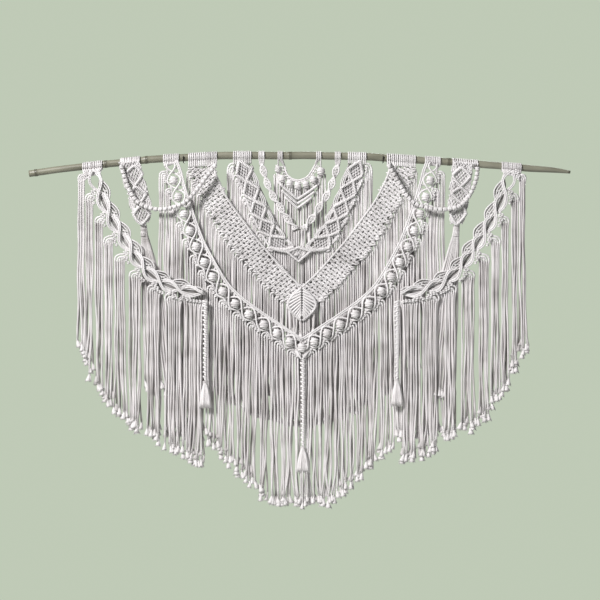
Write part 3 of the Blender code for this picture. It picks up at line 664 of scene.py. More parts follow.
def swag_petals(k, last):
    """The cords of one cell's nested petals, and the ones behind them, which are painted dark as shade,
    each with its radius and tint."""
    petals = [((k + 0.46 + 0.06 * j, 11.0 - 1.2 * j, -1.6), (k + 0.80 + 0.02 * j, 20.0 - 5.0 * j, 0.2),
               (k + 1.10, PETAL_REACH - 5.6 * j, 0.6), (k + 1.34 - 0.02 * j, 18.4 - 4.2 * j, 0.2),
               (k + 1.54 - 0.06 * j, 9.5, -1.8)) for j in range(PETALS if k < SWAG_CELLS - 1 else 2)]
    inner = [((k + 0.90 + 0.16 * j, 5.0, -1.8), (k + 1.04 + 0.16 * j, 12.0, 0.4),
              (k + 1.16 + 0.16 * j, 18.0 - 2 * j, -0.6)) for j in range(2)]
    behind = [[(cell, rise - 2.8, forward - 4.6) for cell, rise, forward in petal] for petal in petals]
    # The cords behind get a tint of -1: painted shade.
    looks = [(1.6, 1.0)] + [(1.2, 1.0)] * (len(petals) + 1) + [(FINE, -1.0)] * len(behind)
    for petal, look in zip(petals + inner + behind, looks):
        yield [(min(cell, last), min(rise, PETAL_REACH * (last + 0.3 - min(cell, last))), forward)
               for cell, rise, forward in petal], look


def make_swag(name, side):
    """Two strands cross eight times; nested petals fill one side of them and knots the other."""
    cords = Cords(10 + side)
    depth = DEPTHS["swag"]
    course = Course(SWAG_LINE, depth, side)
    heading(cords, SWAG_HEADING, depth, side, HEADING_CORDS["swag"], gather=0.72)
    twined_pairs(cords, course, SWAG_CELLS, **TWINES["swag"])
    for k in range(SWAG_CELLS):
        for petal, (radius, tint) in swag_petals(k, SWAG_CELLS - 0.02):
            cords.strand(course.points(*petal), radius, tint=tint)
        for rise, back, tint in EYE_CORDS if k else ():
            cords.strand(course.points((k + 0.06, 0.3 * rise, -back - 0.6), (k + 0.34, rise, -back),
                                       (k + 0.66, rise, -back), (k + 0.94, 0.3 * rise, -back - 0.6)),
                         1.35, tint=tint)
    for x, cell, rise in FIRST_CORDS:
        cords.strand([flat(side * x, -38, depth)] + course.points((0.2, rise, 0.0), (cell, rise, -0.8)))
    for (_, _, _, first, last, _), bundle in zip(SWAG_GROUPS, swag_bundles(side)):
        arches(cords, *bundle)
        for rise, cells in ((-9.5, spread(first - 0.10, first + 0.14, 2)),
                            (-14.5, spread(first - 0.10, first + 0.30, 3)),
                            (PATCH_RISE, spread(first + 0.08, last + 0.04, round(6.5 * (last - first))))):
            for cell in cells:
                cords.knot(course.point(cell, rise, 2.0), DOWN, *KNOTS["swag"])
    cords.make(f"swag_cords_{name}", f"swag_{name}", look=KNOTTED)


BERRY_LINE = (
    (289, -18), (281, -56), (271, -92), (259, -129), (246, -166), (232, -201), (214, -235),
    (196, -267), (174, -299), (147, -326), (117, -349), (84, -372), (55, -391), (27, -410), (0, -427),
)
BERRY_CELLS = len(BERRY_LINE) - 1        # the first mark is the heading and the last the centre
RAIL_RISE = 18.2
BERRY_RADIUS = 10.2
POINT_BERRY_RADIUS = 10.5


def berry_bundles(side):
    """For each bundle, where its cords leave the strand and where they have turned down."""
    course = Course(BERRY_LINE, DEPTHS["berry_band"], side)
    cells = np.append(np.arange(0.42, BERRY_CELLS - 0.4), BERRY_CELLS)
    tops = np.abs(course.point(cells, -15.0)[:, 0]) + 8.0
    tops[0], tops[-1] = 313.0, 4.0
    bundles = []
    for cell, outer, inner in zip(cells, tops, tops[1:]):
        count = max(3, round((outer - inner) / 5.3))
        feet = side * np.linspace(outer, inner + 0.95 * (outer - inner) / count, count)
        places = [cell] + [min(max(course.cell_at(x, -17.0), cell + 0.1), cell + 0.85) for x in feet[1:]]
        rises = np.append(-13.0, np.full(count - 1, -17.0))
        starts = course.point(np.array(places), rises, -1.0)
        bundles.append((starts, turn_down(starts, feet, DEPTHS["berry_band"] + 1.5)))
    return bundles


def berry_cell(cords, course, k):
    """The cords that fan from the rail round one berry, and the knots under it."""
    middle = k + 0.5
    for j in range(2):
        for hand in (-1, 1):
            cords.strand(course.points((middle + hand * (0.02 + 0.06 * j), RAIL_RISE - 1.0, 0.0),
                                       (middle + hand * (0.12 + 0.06 * j), 12.0, 0.8),
                                       (middle + hand * (0.20 + 0.04 * j), 6.0, -1.2)), 1.25)
    cords.strand(course.points((k + 0.14, -12.6, 0.5), (k + 0.4, -9.6, 1.8), (k + 0.6, -11.5, 1.6),
                               (k + 0.76, -16.0, 0.0)))
    for cell, rise in ((k + 0.46, -11.0), (k + 0.60, -16.0), (k + 0.78, -18.0), (k + 0.96, -18.5)):
        cords.knot(course.point(cell, rise, 1.0), DOWN, *KNOTS["berry"])


def berry_point(cords):
    """The lowest berry, and the cords that come down to it from both sides."""
    centre = flat(0, -424, DEPTHS["berry_band"] - 3.4)
    berry(cords, centre, POINT_BERRY_RADIUS)
    for hand in (-1, 1):
        for j in range(3):
            cords.strand(centre + ((hand * (17 - 3.2 * j), 3.5, 4), (hand * (12 - 2.8 * j), 2.5, -9),
                                   (hand * 1.5, 2.0, -19 + 1.5 * j)))
        for j in range(2):
            cords.strand(centre + ((hand * (15 - 3.4 * j), 1.0, -7), (hand * (8.5 - 2.6 * j), -2.5, -16),
                                   (hand * 1.6, -1.5, -25)), 1.8, 6, 1.0)


def make_berry_band():
    """Round berries in the eyes of two crossing strands, with a rail above and fringe below."""
    cords = Cords(14)
    depth = DEPTHS["berry_band"]
    for side in (-1, 1):
        heading(cords, BERRY_HEADING, depth, side, HEADING_CORDS["berry"], gather=0.8)
        course = Course(BERRY_LINE, depth, side)
        twined_pairs(cords, course, BERRY_CELLS, **TWINES["berry"])
        cell = np.linspace(-0.1, BERRY_CELLS - 0.25, 90)
        rail = course.point(cell, RAIL_RISE * np.interp(cell, (0, 0.6), (0.8, 1)), 0.4)
        for shift in (-1.8, 1.8):
            cords.lay(beside(rail, shift, 1.6), 1.8, 6, tint=1.0)
        for k in range(1, BERRY_CELLS):
            berry(cords, course.point(k + 0.02, -1.0, 4.0), BERRY_RADIUS)
        for k in range(BERRY_CELLS):
            berry_cell(cords, course, k)
        for bundle in berry_bundles(side):
            arches(cords, *bundle)
    berry_point(cords)
    cords.make("berry_band_cords", "berry_band", look=KNOTTED)


def berry(cords, centre, radius):
    """A round berry knot: a short row of knots rolled up on itself."""
    heights = np.array((-0.9, -0.6, -0.25, 0.25, 0.6, 0.9))
    cords.lay([centre + DOWN * radius * t for t in heights], 0.86 * radius * np.sqrt(1 - heights ** 2), 14)
    thick = radius * 0.21
    for k, height in enumerate((-0.70, -0.36, 0.0, 0.36, 0.70)):
        reach = math.sqrt(1 - height ** 2) * radius
        cords.turn(centre + DOWN * height * radius, DOWN, reach - thick, 0.96 * reach - thick, thick,
                   1.1 * (-1) ** k, corners=14, sides=7)


# The net hangs aslant, so that its rows run along the band: steps from a knot to the next row.
NET_STEPS = ((11.66, -1.76), (-1.76, -11.44))
NET_ORIGIN = (-150, -150)
NET_EDGE_PITCH = 14.0    # between the knots of its lower edge


def net_knobs(side):
    """Knots along the lower edge of the net, a bundle of fringe to each."""
    edge = Band(NET_BAND, 0.0, side).point(np.linspace(0.02, 1, 120), 0.97)
    return even(edge, NET_EDGE_PITCH)[:-1]


def net_bundles(side):
    """For each knot of the edge, where its two cords leave it and where they have turned down."""
    depth = DEPTHS["net_band"]
    return [([flat(x, z - 2, depth)] * 2, [flat(x + side * out, z - 10, depth + 1.8) for out in (5.4, 0.8)])
            for x, _, z in net_knobs(side)]


def make_net_band():
    """A close net of square knots, edged above by half hitches and below by the fringe's knots."""
    cords = Cords(15)
    depth = DEPTHS["net_band"]
    for side in (-1, 1):
        heading(cords, NET_BAND[0], depth, side, HEADING_CORDS["net"])
        first, second = (np.array(step) * (-side, 1) for step in NET_STEPS)
        loop = outline(NET_BAND, side)
        cords.backing(loop, depth + 4.0, first + second)
        cords.net(loop, depth, np.array(NET_ORIGIN) * (-side, 1), first, second, KNOTS["net"], 2.2)
        upper_edge = Band(NET_BAND, depth, side).point(np.linspace(0, 1, 80), 0.01, 0.4)
        cords.bar(upper_edge, side, *BARS["net"])
        for (x, _, z), bundle in zip(net_knobs(side), net_bundles(side)):
            cords.knot(flat(x, z, depth - 0.6), DOWN, *KNOTS["net_edge"])
            arches(cords, *bundle)
    cords.make("net_band_cords", "net_band", look=KNOTTED)


# Diamond band: where its bars cross, and their ends on its inner and outer edge.
CROSSINGS = ((133, -12), (117, -57), (100, -100), (83, -141), (64, -177), (37, -208))
INNER_ENDS = ((105, -31), (90, -73), (74, -114), (56, -151), (31, -182), (13, -203))
OUTER_ENDS = ((139, -42), (123, -85), (107, -126), (88, -166), (67, -201))
# The band's low middle: its top, left corner, tip and right corner.
POINT = ((-7, -203), (-34, -212), (-7, -234), (21, -210))
MESH_STEPS = (5.4, 3.3)          # half a row along the band, and half a slit across it
MESH_KNOT = (5.2, 1.5)           # width and radius of the cord


def fine_net(cords, loop, depth, way, behind=4.6):
    """A net over its working cords: one small turn of cord at each place of a lattice, and legs
    that leave slits along the band."""
    way = unit(np.array(way, dtype=float))
    across = np.array((-way[1], way[0]))
    along, half = MESH_STEPS
    width, radius = MESH_KNOT
    first, second = way * along + across * half, way * along - across * half
    down = flat(*(first + second))
    cords.backing(loop, depth + behind, way, 4.4, 1.9)
    spots, steps = lattice(loop, loop.mean(axis=0), first, second)
    for spot in spots:
        cords.turn(flat(*spot, depth + cords.random.uniform(-0.5, 0.5)), down, width / 2 - radius, 0.9,
                   radius, cords.random.uniform(-0.8, 0.8), corners=8)
    for spot, step in steps:
        cords.lay([flat(*spot, depth) + flat(*step) * t - (0, 0.3, 0) for t in (0.2, 0.8)], 0.76 * radius, 4)


def diamond_bundles(side):
    """For each bundle, where its cords leave the band's outer edge and where they have turned down."""
    depth = DEPTHS["diamond_band"]
    ends = np.array(OUTER_ENDS, dtype=float)
    after = np.vstack((ends[1:], (48, -208)))
    share = np.linspace(0, 1, 5)
    bundles = []
    for end, following in zip(ends, after):
        edge = end + (following - end) * 0.62 * share[:, None] - (2, 2)
        starts = np.stack((DIAMOND_AXIS + side * edge[:, 0], np.full(5, depth), edge[:, 1]), 1)
        feet = DIAMOND_AXIS + side * (end[0] + 6.5 - 17.5 * share)
        bundles.append((starts, turn_down(starts, feet, depth + 1.8)))
    starts = np.array([flat(DIAMOND_AXIS + side * 144, z, depth) for z in (-18, -24, -31, -37)])
    feet = DIAMOND_AXIS + side * np.array((159.0, 155.0, 151.0, 147.0))
    downs = turn_down(starts, feet, depth + 1.8) - (0, 0, 12)
    return bundles + [(starts, downs)]


def diamond_bars(side, place):
    """The two bars that meet at each crossing."""
    for n, crossing in enumerate(CROSSINGS):
        inner, cross = place(*INNER_ENDS[n]), place(*crossing)
        if n:
            yield side, (place(*OUTER_ENDS[n - 1]) + (0, 0, -2), cross + (0, -0.6, 0), inner)
        else:
            yield side, (cross, (cross + inner) / 2, inner)
        if n < len(OUTER_ENDS):
            yield -side, (place(*INNER_ENDS[n - 1]) if n else cross, cross, place(*OUTER_ENDS[n]))


def diamond_petals(cords, place, depth):
    """Nested cords along the inner edge, from one bar's end to the next, and along the outer edge."""
    for a, b, c in zip(INNER_ENDS, INNER_ENDS[1:], CROSSINGS[1:]):
        for j in range(3):
            out = 5.2 - 4.6 * j
            middle = ((a[0] + b[0]) / 2 - out, (a[1] + b[1]) / 2 - 0.45 * out)
            start, end = ((np.array(p) + (np.array(c) - p) * 0.12 * j) for p in (a, b))
            cords.strand((place(*start, depth - 0.8), place(*middle, depth - 1.4 + 0.3 * j),
                          place(*end, depth - 0.8)), 1.4, tint=1.0, step=4.0)
    for a, b in zip(OUTER_ENDS, OUTER_ENDS[1:]):
        for j in range(2):
            middle = ((a[0] + b[0]) / 2 + 3.0 - 3.2 * j, (a[1] + b[1]) / 2)
            cords.strand((place(*a, depth - 0.8), place(*middle, depth - 1.2),
                          place(*b, depth - 0.8)), 1.6, step=4.0)


def diamond_point(cords, depth, bar_depth):
    """The small rhombus at the band's low middle, with a bar from each of its side corners."""
    fine_net(cords, np.array(POINT), depth - 1.2, (0.0, -1.0))
    top, left, tip, right = (flat(x, z, bar_depth) for x, z in POINT)
    for corner, side in ((left, -1), (right, 1)):
        ends = [flat(DIAMOND_AXIS + side * x, z, bar_depth) for x, z in ((67, -202), (53, -208))]
        cords.bar(smooth(ends + [corner, (corner + top) / 2 - (0, 0, 1.2), top]), side, *BARS["point"])
        cords.bar(smooth((corner, (corner + tip) / 2, tip)), side, *BARS["tip"])


def make_diamond_band():
    """Two families of half-hitch bars cross over a fine net; petals fill the inner edge."""
    cords = Cords(16)
    depth = DEPTHS["diamond_band"]
    bar_depth = depth - 3.2
    ends = np.array(INNER_ENDS, dtype=float)
    corners = np.vstack((CROSSINGS[:1], 0.4 * np.array(CROSSINGS[1:]) + 0.3 * (ends[1:] + ends[:-1])))
    zigzag = [tuple(corner) for pair in zip(corners, ends) for corner in pair]
    loop = np.array(zigzag + [(40, -212)] + list(OUTER_ENDS[::-1]) + [(141, -24)], dtype=float)
    for side in (-1, 1):
        def place(x, z, y=bar_depth):
            return flat(DIAMOND_AXIS + side * x, z, y)

        heading(cords, DIAMOND_BAND[0], depth, side, HEADING_CORDS["diamond"], DIAMOND_AXIS)
        fine_net(cords, loop * (side, 1) + (DIAMOND_AXIS, 0), depth - 0.6, (-side * 0.42, -0.9))
        cords.backing(outline(DIAMOND_BAND, side, DIAMOND_AXIS), depth + 4.2, (-side * 0.42, -0.9))
        for hand, bar in diamond_bars(side, place):
            cords.bar(smooth(bar), hand, *BARS["diamond"])
        diamond_petals(cords, place, depth)
        for starts, downs in diamond_bundles(side):
            arches(cords, starts, downs)
            for share in (0.3, 0.62):
                spot = starts[0] + (starts[-1] - starts[0]) * share + (side * 3.5, -0.8, -4)
                cords.knot(spot, DOWN, *KNOTS["diamond"])
    diamond_point(cords, depth, bar_depth)
    cords.make("diamond_band_cords", "diamond_band", look=KNOTTED)


# Tongues: top, left, bottom and right corner of each diamond, as x and z; and their edges.
TONGUE_DIAMONDS = {
    "left": (
        ((-368, -24), (-386, -41), (-367, -68), (-349, -42)),
        ((-366, -70), (-376, -86), (-358, -109), (-342, -86)),
        ((-355, -112), (-370, -132), (-352, -154), (-334, -131)),
    ),
    "right": (
        ((350, -28), (330, -46), (348, -70), (369, -48)),
        ((348, -72), (328, -85), (352, -109), (365, -87)),
        ((351, -112), (325, -130), (339, -154), (360, -130)),
    ),
}
TONGUE_EDGES = {
    "left": ((356, -11, 402, -18), (347, -51, 396, -51), (335, -88, 383, -88), (330, -117, 376, -121),
             (335, -147, 362, -152)),
    "right": ((331, -14, 373, -18), (326, -55, 373, -51), (322, -88, 366, -88), (320, -124, 363, -121),
              (327, -152, 353, -152)),
}
NECKS = {"left": (-348.5, -153), "right": (340, -153)}
# Tails: z below the neck, drift towards the centre and half width.
TAIL = np.array(((0, 0, 5.5), (-28, 3, 6.0), (-36, 4, 9.0), (-110, 16, 20.0), (-368, 36, 34.0)))
TAIL_CORDS = 17
NECK_TURNS = 8


def make_tongue(name, side):
    """Three diamonds of half hitches on a strip of fine net, with cords along both edges."""
    cords = Cords(18 + side)
    depth = DEPTHS["tongue"]
    rows = TONGUE_EDGES[name]
    heading(cords, TONGUE_HEADINGS[name], depth, side, HEADING_CORDS["tongue"])
    fine_net(cords, outline(rows, side), depth - 0.4, (-side * 0.22, -0.97), 2.4)
    band = Band(rows, depth, side)
    for top, left, bottom, right in TONGUE_DIAMONDS[name]:
        top, left, bottom, right = (flat(x, z, depth - 3.0) for x, z in (top, left, bottom, right))
        for a, b, hand in ((top, left, -1), (left, bottom, 1), (top, right, 1), (right, bottom, -1)):
            middle = (a + b) / 2
            outward = unit(middle - (top + bottom) / 2)
            cords.bar(smooth((a, middle + outward * 1.2, b)), hand, *BARS["tongue"])
    outer = 1 if side < 0 else 3
    for corner, across in ((outer, 1.0), (4 - outer, 0.0)):
        inward = -0.09 if across else 0.09
        stops = [0.0] + [float(np.interp(-row[corner][1], (14, 150), (0, 1)))
                         for row in TONGUE_DIAMONDS[name]] + [1.0]
        for a, b in zip(stops, stops[1:]):
            for j in range(3):
                bow = ((a, 1.4, -0.5), ((a + b) / 2, 0.2 + j, 0.6), (b, 1.4, -0.5))
                cords.strand([band.point(along, across + inward * share, forward)
                              for along, share, forward in bow], 1.6)
    neck = flat(*NECKS[name], depth)
    bottom = flat(*TONGUE_DIAMONDS[name][2][2], depth)
    for k in range(6):
        shift = (k - 2.5) * 1.9
        cords.strand((bottom + (shift * 2.2, 0, 8), neck + (shift, 0, 1), neck + (shift, 0, -3)), 1.8)
    cords.make(f"tongue_cords_{name}", f"tongue_{name}", look=KNOTTED)


def make_tail(name, side):
    """Cords gathered by a wrapped neck, which fan out behind the swag's fringe."""
    cords = Cords(22 + side)
    neck_x, neck_z = NECKS[name]
    top = neck_z - 1.0
    depth = DEPTHS["tail"]
    for k in range(NECK_TURNS):
        cords.turn((neck_x, depth, top - 2.2 - 3.1 * k), DOWN, 4.9, 3.4, 1.7, 0.3, corners=14)
    for k in range(TAIL_CORDS):
        share = 2 * (k + 0.5) / TAIL_CORDS - 1
        layer = 1.2 * (-1) ** k
        z = np.linspace(0, -352 + cords.random.uniform(-14, 10), 17)
        drift, half = read_down(TAIL, z)
        x = neck_x - side * drift + share * half
        path = np.stack((x, depth + layer * np.interp(-z, (0, 60), (0.4, 1)), top + z), 1)
        path += sway(cords, path, 0.8)
        cords.lay(path, 2.0, 5)
        cords.tuft(path[-1])
    cords.make(f"tail_cords_{name}", f"tail_{name}", look=HANGING)


# Crescent: the arc, its berries, the clusters beside it and the three bars below, as x and z.
ARC = ((-38, -24), (-33, -40), (-23, -50), (-10, -54), (1, -52), (12, -46), (21, -34), (29, -20))
ARC_BERRIES = ((-43, -51), (-27, -61), (-9, -67), (9, -64), (25, -53))
ARC_CLUSTERS = ((-53, -30), (42, -35))
ARC_BERRY_RADIUS = 8.6
CLUSTER_RADII = (8.0, 9.8)
VEE = ((-50, -56), (-28, -62), (-10, -66), (10, -64), (32, -56), (27, -88), (-10, -116), (-43, -88))
VEE_BARS = (
    ((-49, -63), (-30, -79), (-10, -96), (12, -82), (34, -66)),
    ((-45, -77), (-28, -91), (-10, -106), (9, -94), (28, -80)),
    ((-38, -92), (-24, -103), (-10, -116), (6, -105), (21, -93)),
)


def make_crescent():
    """An arc of cords between two clusters, a row of berries under it, and a V of three bars."""
    cords = Cords(24)
    depth = DEPTHS["crescent"]

    def spot(x, z, forward=0.0):
        return flat(x, z, depth - forward)

    cords.backing(np.array(VEE, dtype=float), depth + 3.4, (0.0, -1.0), 4.4, 2.0)
    arc = smooth([spot(x, z, 0.6) for x, z in ARC])
    cords.lay(arc, 1.8, 6, tint=1.0)
    cords.lay(beside(arc, -3.2, -1.0), 1.7, 6)
    row = even(beside(arc, -6.6, 0.6), 7.0)
    for centre, down in zip(row, unit(np.gradient(row, axis=0))):
        cords.knot(centre, np.cross(down, BACKWARD), *KNOTS["crescent"])
    for x, z in ARC_BERRIES:
        berry(cords, spot(x, z, 3.0), ARC_BERRY_RADIUS)
    for (x, z), radius in zip(ARC_CLUSTERS, CLUSTER_RADII):
        berry(cords, spot(x, z, 2.0), radius)
        for j in range(3):
            cords.strand((spot(x - 5 + 2 * j, z + 9), spot(x - 2 + 2 * j, z + 2, 8.0),
                          spot(x + 2 + 2 * j, z - 8, 3.0)), 1.6)
    for points in VEE_BARS:
        for half, hand in ((points[:3], 1), (points[2:], -1)):
            cords.bar(smooth([spot(x, z, 2.4) for x, z in half]), hand, *BARS["crescent"])
    for x, foot in ((-48, ARC[0]), (-44, ARC[0]), (-52, ARC_CLUSTERS[0]), (33, ARC[-1]), (37, ARC[-1]),
                    (41, ARC_CLUSTERS[1])):
        loop_over_rod(cords, x, spot(*foot), spot(foot[0], foot[1], -2.0))
    for x, z in ARC_BERRIES:
        for j in (-1, 0, 1):
            bar_z = np.interp(x + 4.6 * j, *zip(*VEE_BARS[0]))
            cords.strand((spot(x + 3 * j, z), spot(x + 4.6 * j, (z + bar_z) / 2, 0.8),
                          spot(x + 4.6 * j, bar_z)))
    for a, b in zip(ARC_CLUSTERS, (VEE_BARS[0][0], VEE_BARS[0][-1])):
        for j in range(4):
            cords.strand((spot(a[0] + 2 * j - 3, a[1]),
                          spot((a[0] + b[0]) / 2 + 2 * j - 4, (a[1] + b[1]) / 2),
                          spot(b[0] + 2 * j - 3, b[1])), step=4.0)
    cords.make("crescent_cords", "crescent", look=KNOTTED)


# Leaf: z of the midrib, half width and drop of the rim.
LEAF = np.array((
    (-292, 2, 1), (-298, 14.5, 6), (-303, 23.5, 10), (-309, 30, 15), (-318, 29, 18.5), (-329, 20.5, 19),
    (-341, 11, 16), (-359, 2, 5),
))
LEAF_VEINS = 10


def make_leaf():
    """A pointed leaf of half-hitch veins that climb to the midrib."""
    cords = Cords(26)
    depth = DEPTHS["leaf"]
    for side in (-1, 1):
        rim = smooth([(side * half, depth - 0.6, z - drop) for z, half, drop in LEAF], 2.0)
        cords.bar(rim, side, *BARS["leaf"])
        for z in spread(-297, -352, LEAF_VEINS):
            half, drop = read_down(LEAF, z)
            cords.strand(((side * 1.4, depth - 1.0, z), (side * half * 0.5, depth - 1.2, z - drop * 0.45),
                          (side * half, depth - 0.4, z - drop)), 2.35, 8, 1.0, 2.0)
    cords.make("leaf_cords", "leaf", look=KNOTTED)


# Free strands: x, z along each run.
SPIRAL = ((84, -20), (80, -34), (72, -60), (60, -88), (46, -109), (34, -130), (20, -148), (9, -162))
SPIRAL_PITCH = 30.0      # along a spiral, for half a turn
HALF_KNOT_PITCH = 3.4    # between a spiral's knots
BEAD_PITCH = 10.6
BRAID_PITCH = 10.4
CHAINS = {
    "left": ((-191, -26), (-209, -50), (-238, -88), (-260, -108), (-297, -120), (-332, -118),
             (-360, -104), (-377, -80), (-388, -51), (-395, -28)),
    "right": ((191, -26), (205, -50), (229, -90), (249, -108), (277, -118), (304, -121),
              (337, -116), (356, -104), (371, -82), (381, -55), (384, -32)),
}


def make_spiral(name, side):
    """A sinnet of half knots, which turns as it goes: an edge cord winds down each side of it."""
    cords = Cords(28 + side)
    line = smooth([(DIAMOND_AXIS + side * x, DEPTHS["spiral"], z) for x, z in SPIRAL])
    path = even(line, HALF_KNOT_PITCH)
    phase = math.pi * distance_along(path) / SPIRAL_PITCH
    for n, (centre, down) in enumerate(zip(path, unit(np.gradient(path, axis=0)))):
        half = 4.1 + 3.3 * abs(math.sin(phase[n]))
        cords.turn(centre, down, half - 1.8, 3.4, 1.8, 1.3 * (-1) ** n, corners=12, sides=6)
    swing, lift = np.sin(phase)[:, None], np.cos(phase)[:, None]
    for hand in (-1, 1):
        cords.lay(beside(path, hand * 6.6 * swing, 3.4 + hand * 1.6 * lift), 1.9, 7, tint=1.0)
    for shift in (-5.0, -1.7, 1.7, 5.0):
        loop_over_rod(cords, path[0][0] + shift, path[0] + (shift * 0.6, -1, -3),
                      path[0] + (shift * 0.6, 1, -3))
    cords.make(f"spiral_cords_{name}", f"spiral_{name}", look=KNOTTED)


def make_chain(name):
    """A bead-like sinnet of square knots that swings in front of the bands."""
    cords = Cords(31)
    path = smooth([(x, DEPTHS["chain"], z) for x, z in CHAINS[name]])
    beads = even(path, BEAD_PITCH)
    profile = np.array(((-4.3, 2.2), (-3.7, 3.9), (-2.0, 4.7), (2.0, 4.7), (3.7, 3.9), (4.3, 2.2)))
    for spot, down in zip(beads, unit(np.gradient(beads, axis=0))):
        cords.lay(spot + down * profile[:, :1], profile[:, 1], 12, tint=0.8)
        for shift, lean in ((-1.9, 1.0), (1.9, -1.0)):
            cords.turn(spot + down * shift, down, 3.4, 3.2, 1.9, lean, corners=12, sides=7)
    # The core is given a tint below zero, so it shows dark between the beads: painted shade.
    cords.lay(path, 2.8, 6, tint=-0.5)
    for end in (path[0], path[-1]):
        for shift in (-2.2, 2.2):
            loop_over_rod(cords, end[0] + shift, end + (shift, 0, 0), end + (shift, 3, 0))
    cords.make(f"chain_cords_{name}", f"chain_{name}", look=KNOTTED)


# Braids: x, layer, z of both ends; width and length of the tassel, as shares of BELL; and the loose
# cords that hang out of it, as x beside the braid and length.
BRAIDS = {
    "left": (-212, "braid", -320, -496, 0.95, 0.99, ()),
    "right": (208, "braid", -320, -492, 0.95, 0.99, ()),
    "centre": (2, "centre_braid", -446, -640, 1.05, 0.96, ((-5, 112), (-1, 124), (5, 118), (9, 108))),
}


def make_braid(name, x, depth, top, bottom):
    """A row of small knots, each tied over the last, which show as teeth down its sides."""
    cords = Cords(33)
    line = smooth(((x, depth, top), (x + 0.8, depth, (top + bottom) / 2), (x, depth, bottom)))
    path = even(line, BRAID_PITCH)
    knots = (path[1:] + path[:-1]) / 2
    for spot, half_width in zip(knots, np.linspace(4.6, 3.1, len(knots))):
        for lower, share in ((-2.3, 1.0), (2.6, 0.5)):
            cords.turn(spot + (0.2 * lower, 0, -lower), DOWN, half_width * share, 2.0, 2.2,
                       -1.6 if name == "right" else 1.6, corners=12, sides=7, tint=BRIGHT)
    # The core is given a tint below zero, so it shows dark between the knots: painted shade.
    cords.lay(path, 2.6, 6, tint=-0.6)
    cords.make(f"braid_cords_{name}", f"braid_{name}", look=KNOTTED)


# Tassels: z below the neck, half width and half depth of the brushed head.
BELL = np.array(((0, 3.2, 2.6), (-9, 5.0, 3.4), (-21, 8.6, 4.2), (-40, 12.2, 4.6), (-60, 14.6, 4.8)))
FIBRES = 150
BRIGHT = 1.4             # tint of the whitest cords


def make_tassel(name, x, depth, top, width, length, loose):
    """A wrapped neck over a brushed bell of fibres, and a few cords that hang out of it."""
    cords = Cords(36)
    for k in range(3):
        cords.turn((x, depth, top - 2.0 - 3.0 * k), DOWN, 4.4, 3.2, 1.6, 0.2, corners=12)
    for share in (-0.72, -0.36, 0.0, 0.36, 0.72):
        z = np.array((-4.0, -12.0, -22.0, -36.0, -55.0, -56.0))
        wide, _ = read_down(BELL, z)
        cords.lay(np.stack((x + width * share * wide, np.full(6, depth), top + length * z), axis=1),
                  (1.5, 2.0, 2.8, 3.6, 4.1, 1.0), 7, tint=BRIGHT, plain=True)
    for _ in range(FIBRES):
        around = cords.random.uniform(0, 2 * math.pi)
        out = cords.random.choice((0.6, 0.92, 1.0)) * cords.random.uniform(0.92, 1.0)
        z = np.array((-3.0, -10.0, -20.0, -34.0, -48.0, -59 + cords.random.uniform(-2, 3)))
        wide, deep = read_down(BELL, z)
        bend = cords.random.uniform(-0.4, 0.4, len(z))
        path = np.stack((x + width * wide * out * math.cos(around) + bend,
                         depth + deep * out * math.sin(around), top + length * z), axis=1)
        tint = cords.random.uniform(0.9, BRIGHT)
        cords.lay(path, (1.1, 1.1, 1.1, 1.2, 1.2, 0.8), 3, tint=tint, plain=True)
    for shift, drop in loose:
        path = smooth([(x + shift * t, depth - 2.0, top - 30 - (drop - 30) * u)
                       for t, u in ((0.5, 0), (0.9, 0.3), (1.1, 0.65), (1.0, 1.0))], 12.0)
        cords.lay(path, 1.9, 5)
        cords.tuft(path[-1], 14.0, 4.0)
    cords.make(f"tassel_fibres_{name}", f"tassel_{name}", look=HANGING)


# ------------------------------------------------------------------------------------- fringes

# Roots and lower ends of each fringe: distance from its axis, and z.
ROOTS = {
    "berry_fringe": (
        (0, -432), (42, -412), (75, -392), (103, -371), (136, -352), (163, -332), (187, -312),
        (207, -290), (229, -250), (244, -217), (260, -176), (273, -136), (288, -90), (296, -60),
        (306, -36), (314, -32)),
    "net_fringe": (
        (0, -322), (38, -314), (70, -288), (110, -245), (152, -200), (183, -153), (216, -96),
        (240, -46), (250, -28)),
    "diamond_fringe": (
        (0, -226), (26, -206), (64, -200), (88, -166), (106, -126), (119, -90), (141, -44), (150, -22)),
    "crescent_fringe": ((0, -114), (14, -106), (28, -92), (40, -74), (48, -46), (60, -40)),
    "spiral_fringe": ((0, -168), (9, -163), (20, -152), (26, -150)),
    "leaf_fringe": ((0, -360), (31, -334)),
}
ENDS = {
    "swag_fringe": (
        (216, -684), (260, -667), (323, -629), (348, -612), (378, -601), (407, -574), (429, -537),
        (451, -515), (471, -460), (493, -418)),
    "berry_fringe": (
        (0, -772), (73, -770), (90, -742), (97, -740), (139, -700), (170, -668), (198, -640),
        (209, -625), (260, -620), (314, -610)),
    "net_fringe": ((0, -600), (90, -580), (170, -530), (250, -470)),
    "diamond_fringe": ((0, -560), (80, -520), (150, -420)),
    "crescent_fringe": ((0, -330), (60, -300)),
    "spiral_fringe": ((0, -226), (26, -212)),
    "leaf_fringe": ((0, -415), (31, -398)),
}


def sway(cords, path, size):
    """A gentle waver that grows from the top of a hanging cord."""
    fall = distance_along(path)
    grown = np.interp(fall, (0, 60, 400), (0, 0.5, 1.0))
    waver = np.zeros_like(path)
    for axis, share in ((0, 1.0), (1, 0.4)):
        for length in (cords.random.uniform(120, 200), cords.random.uniform(260, 480)):
            phase = cords.random.uniform(0, 2 * math.pi)
            waver[:, axis] += share * size * grown * np.sin(2 * math.pi * fall / length + phase)
    return waver


def gathers(cords, low, high):
    """The places that the cords of a fringe draw towards as they fall."""
    places = [low]
    while places[-1] < high:
        places.append(places[-1] + cords.random.uniform(12, 25))
    return np.array(places)


def height_at(table, away):
    """The z that a table of the roots or ends of a fringe gives, this far from its axis."""
    return float(np.interp(away, *zip(*table)))


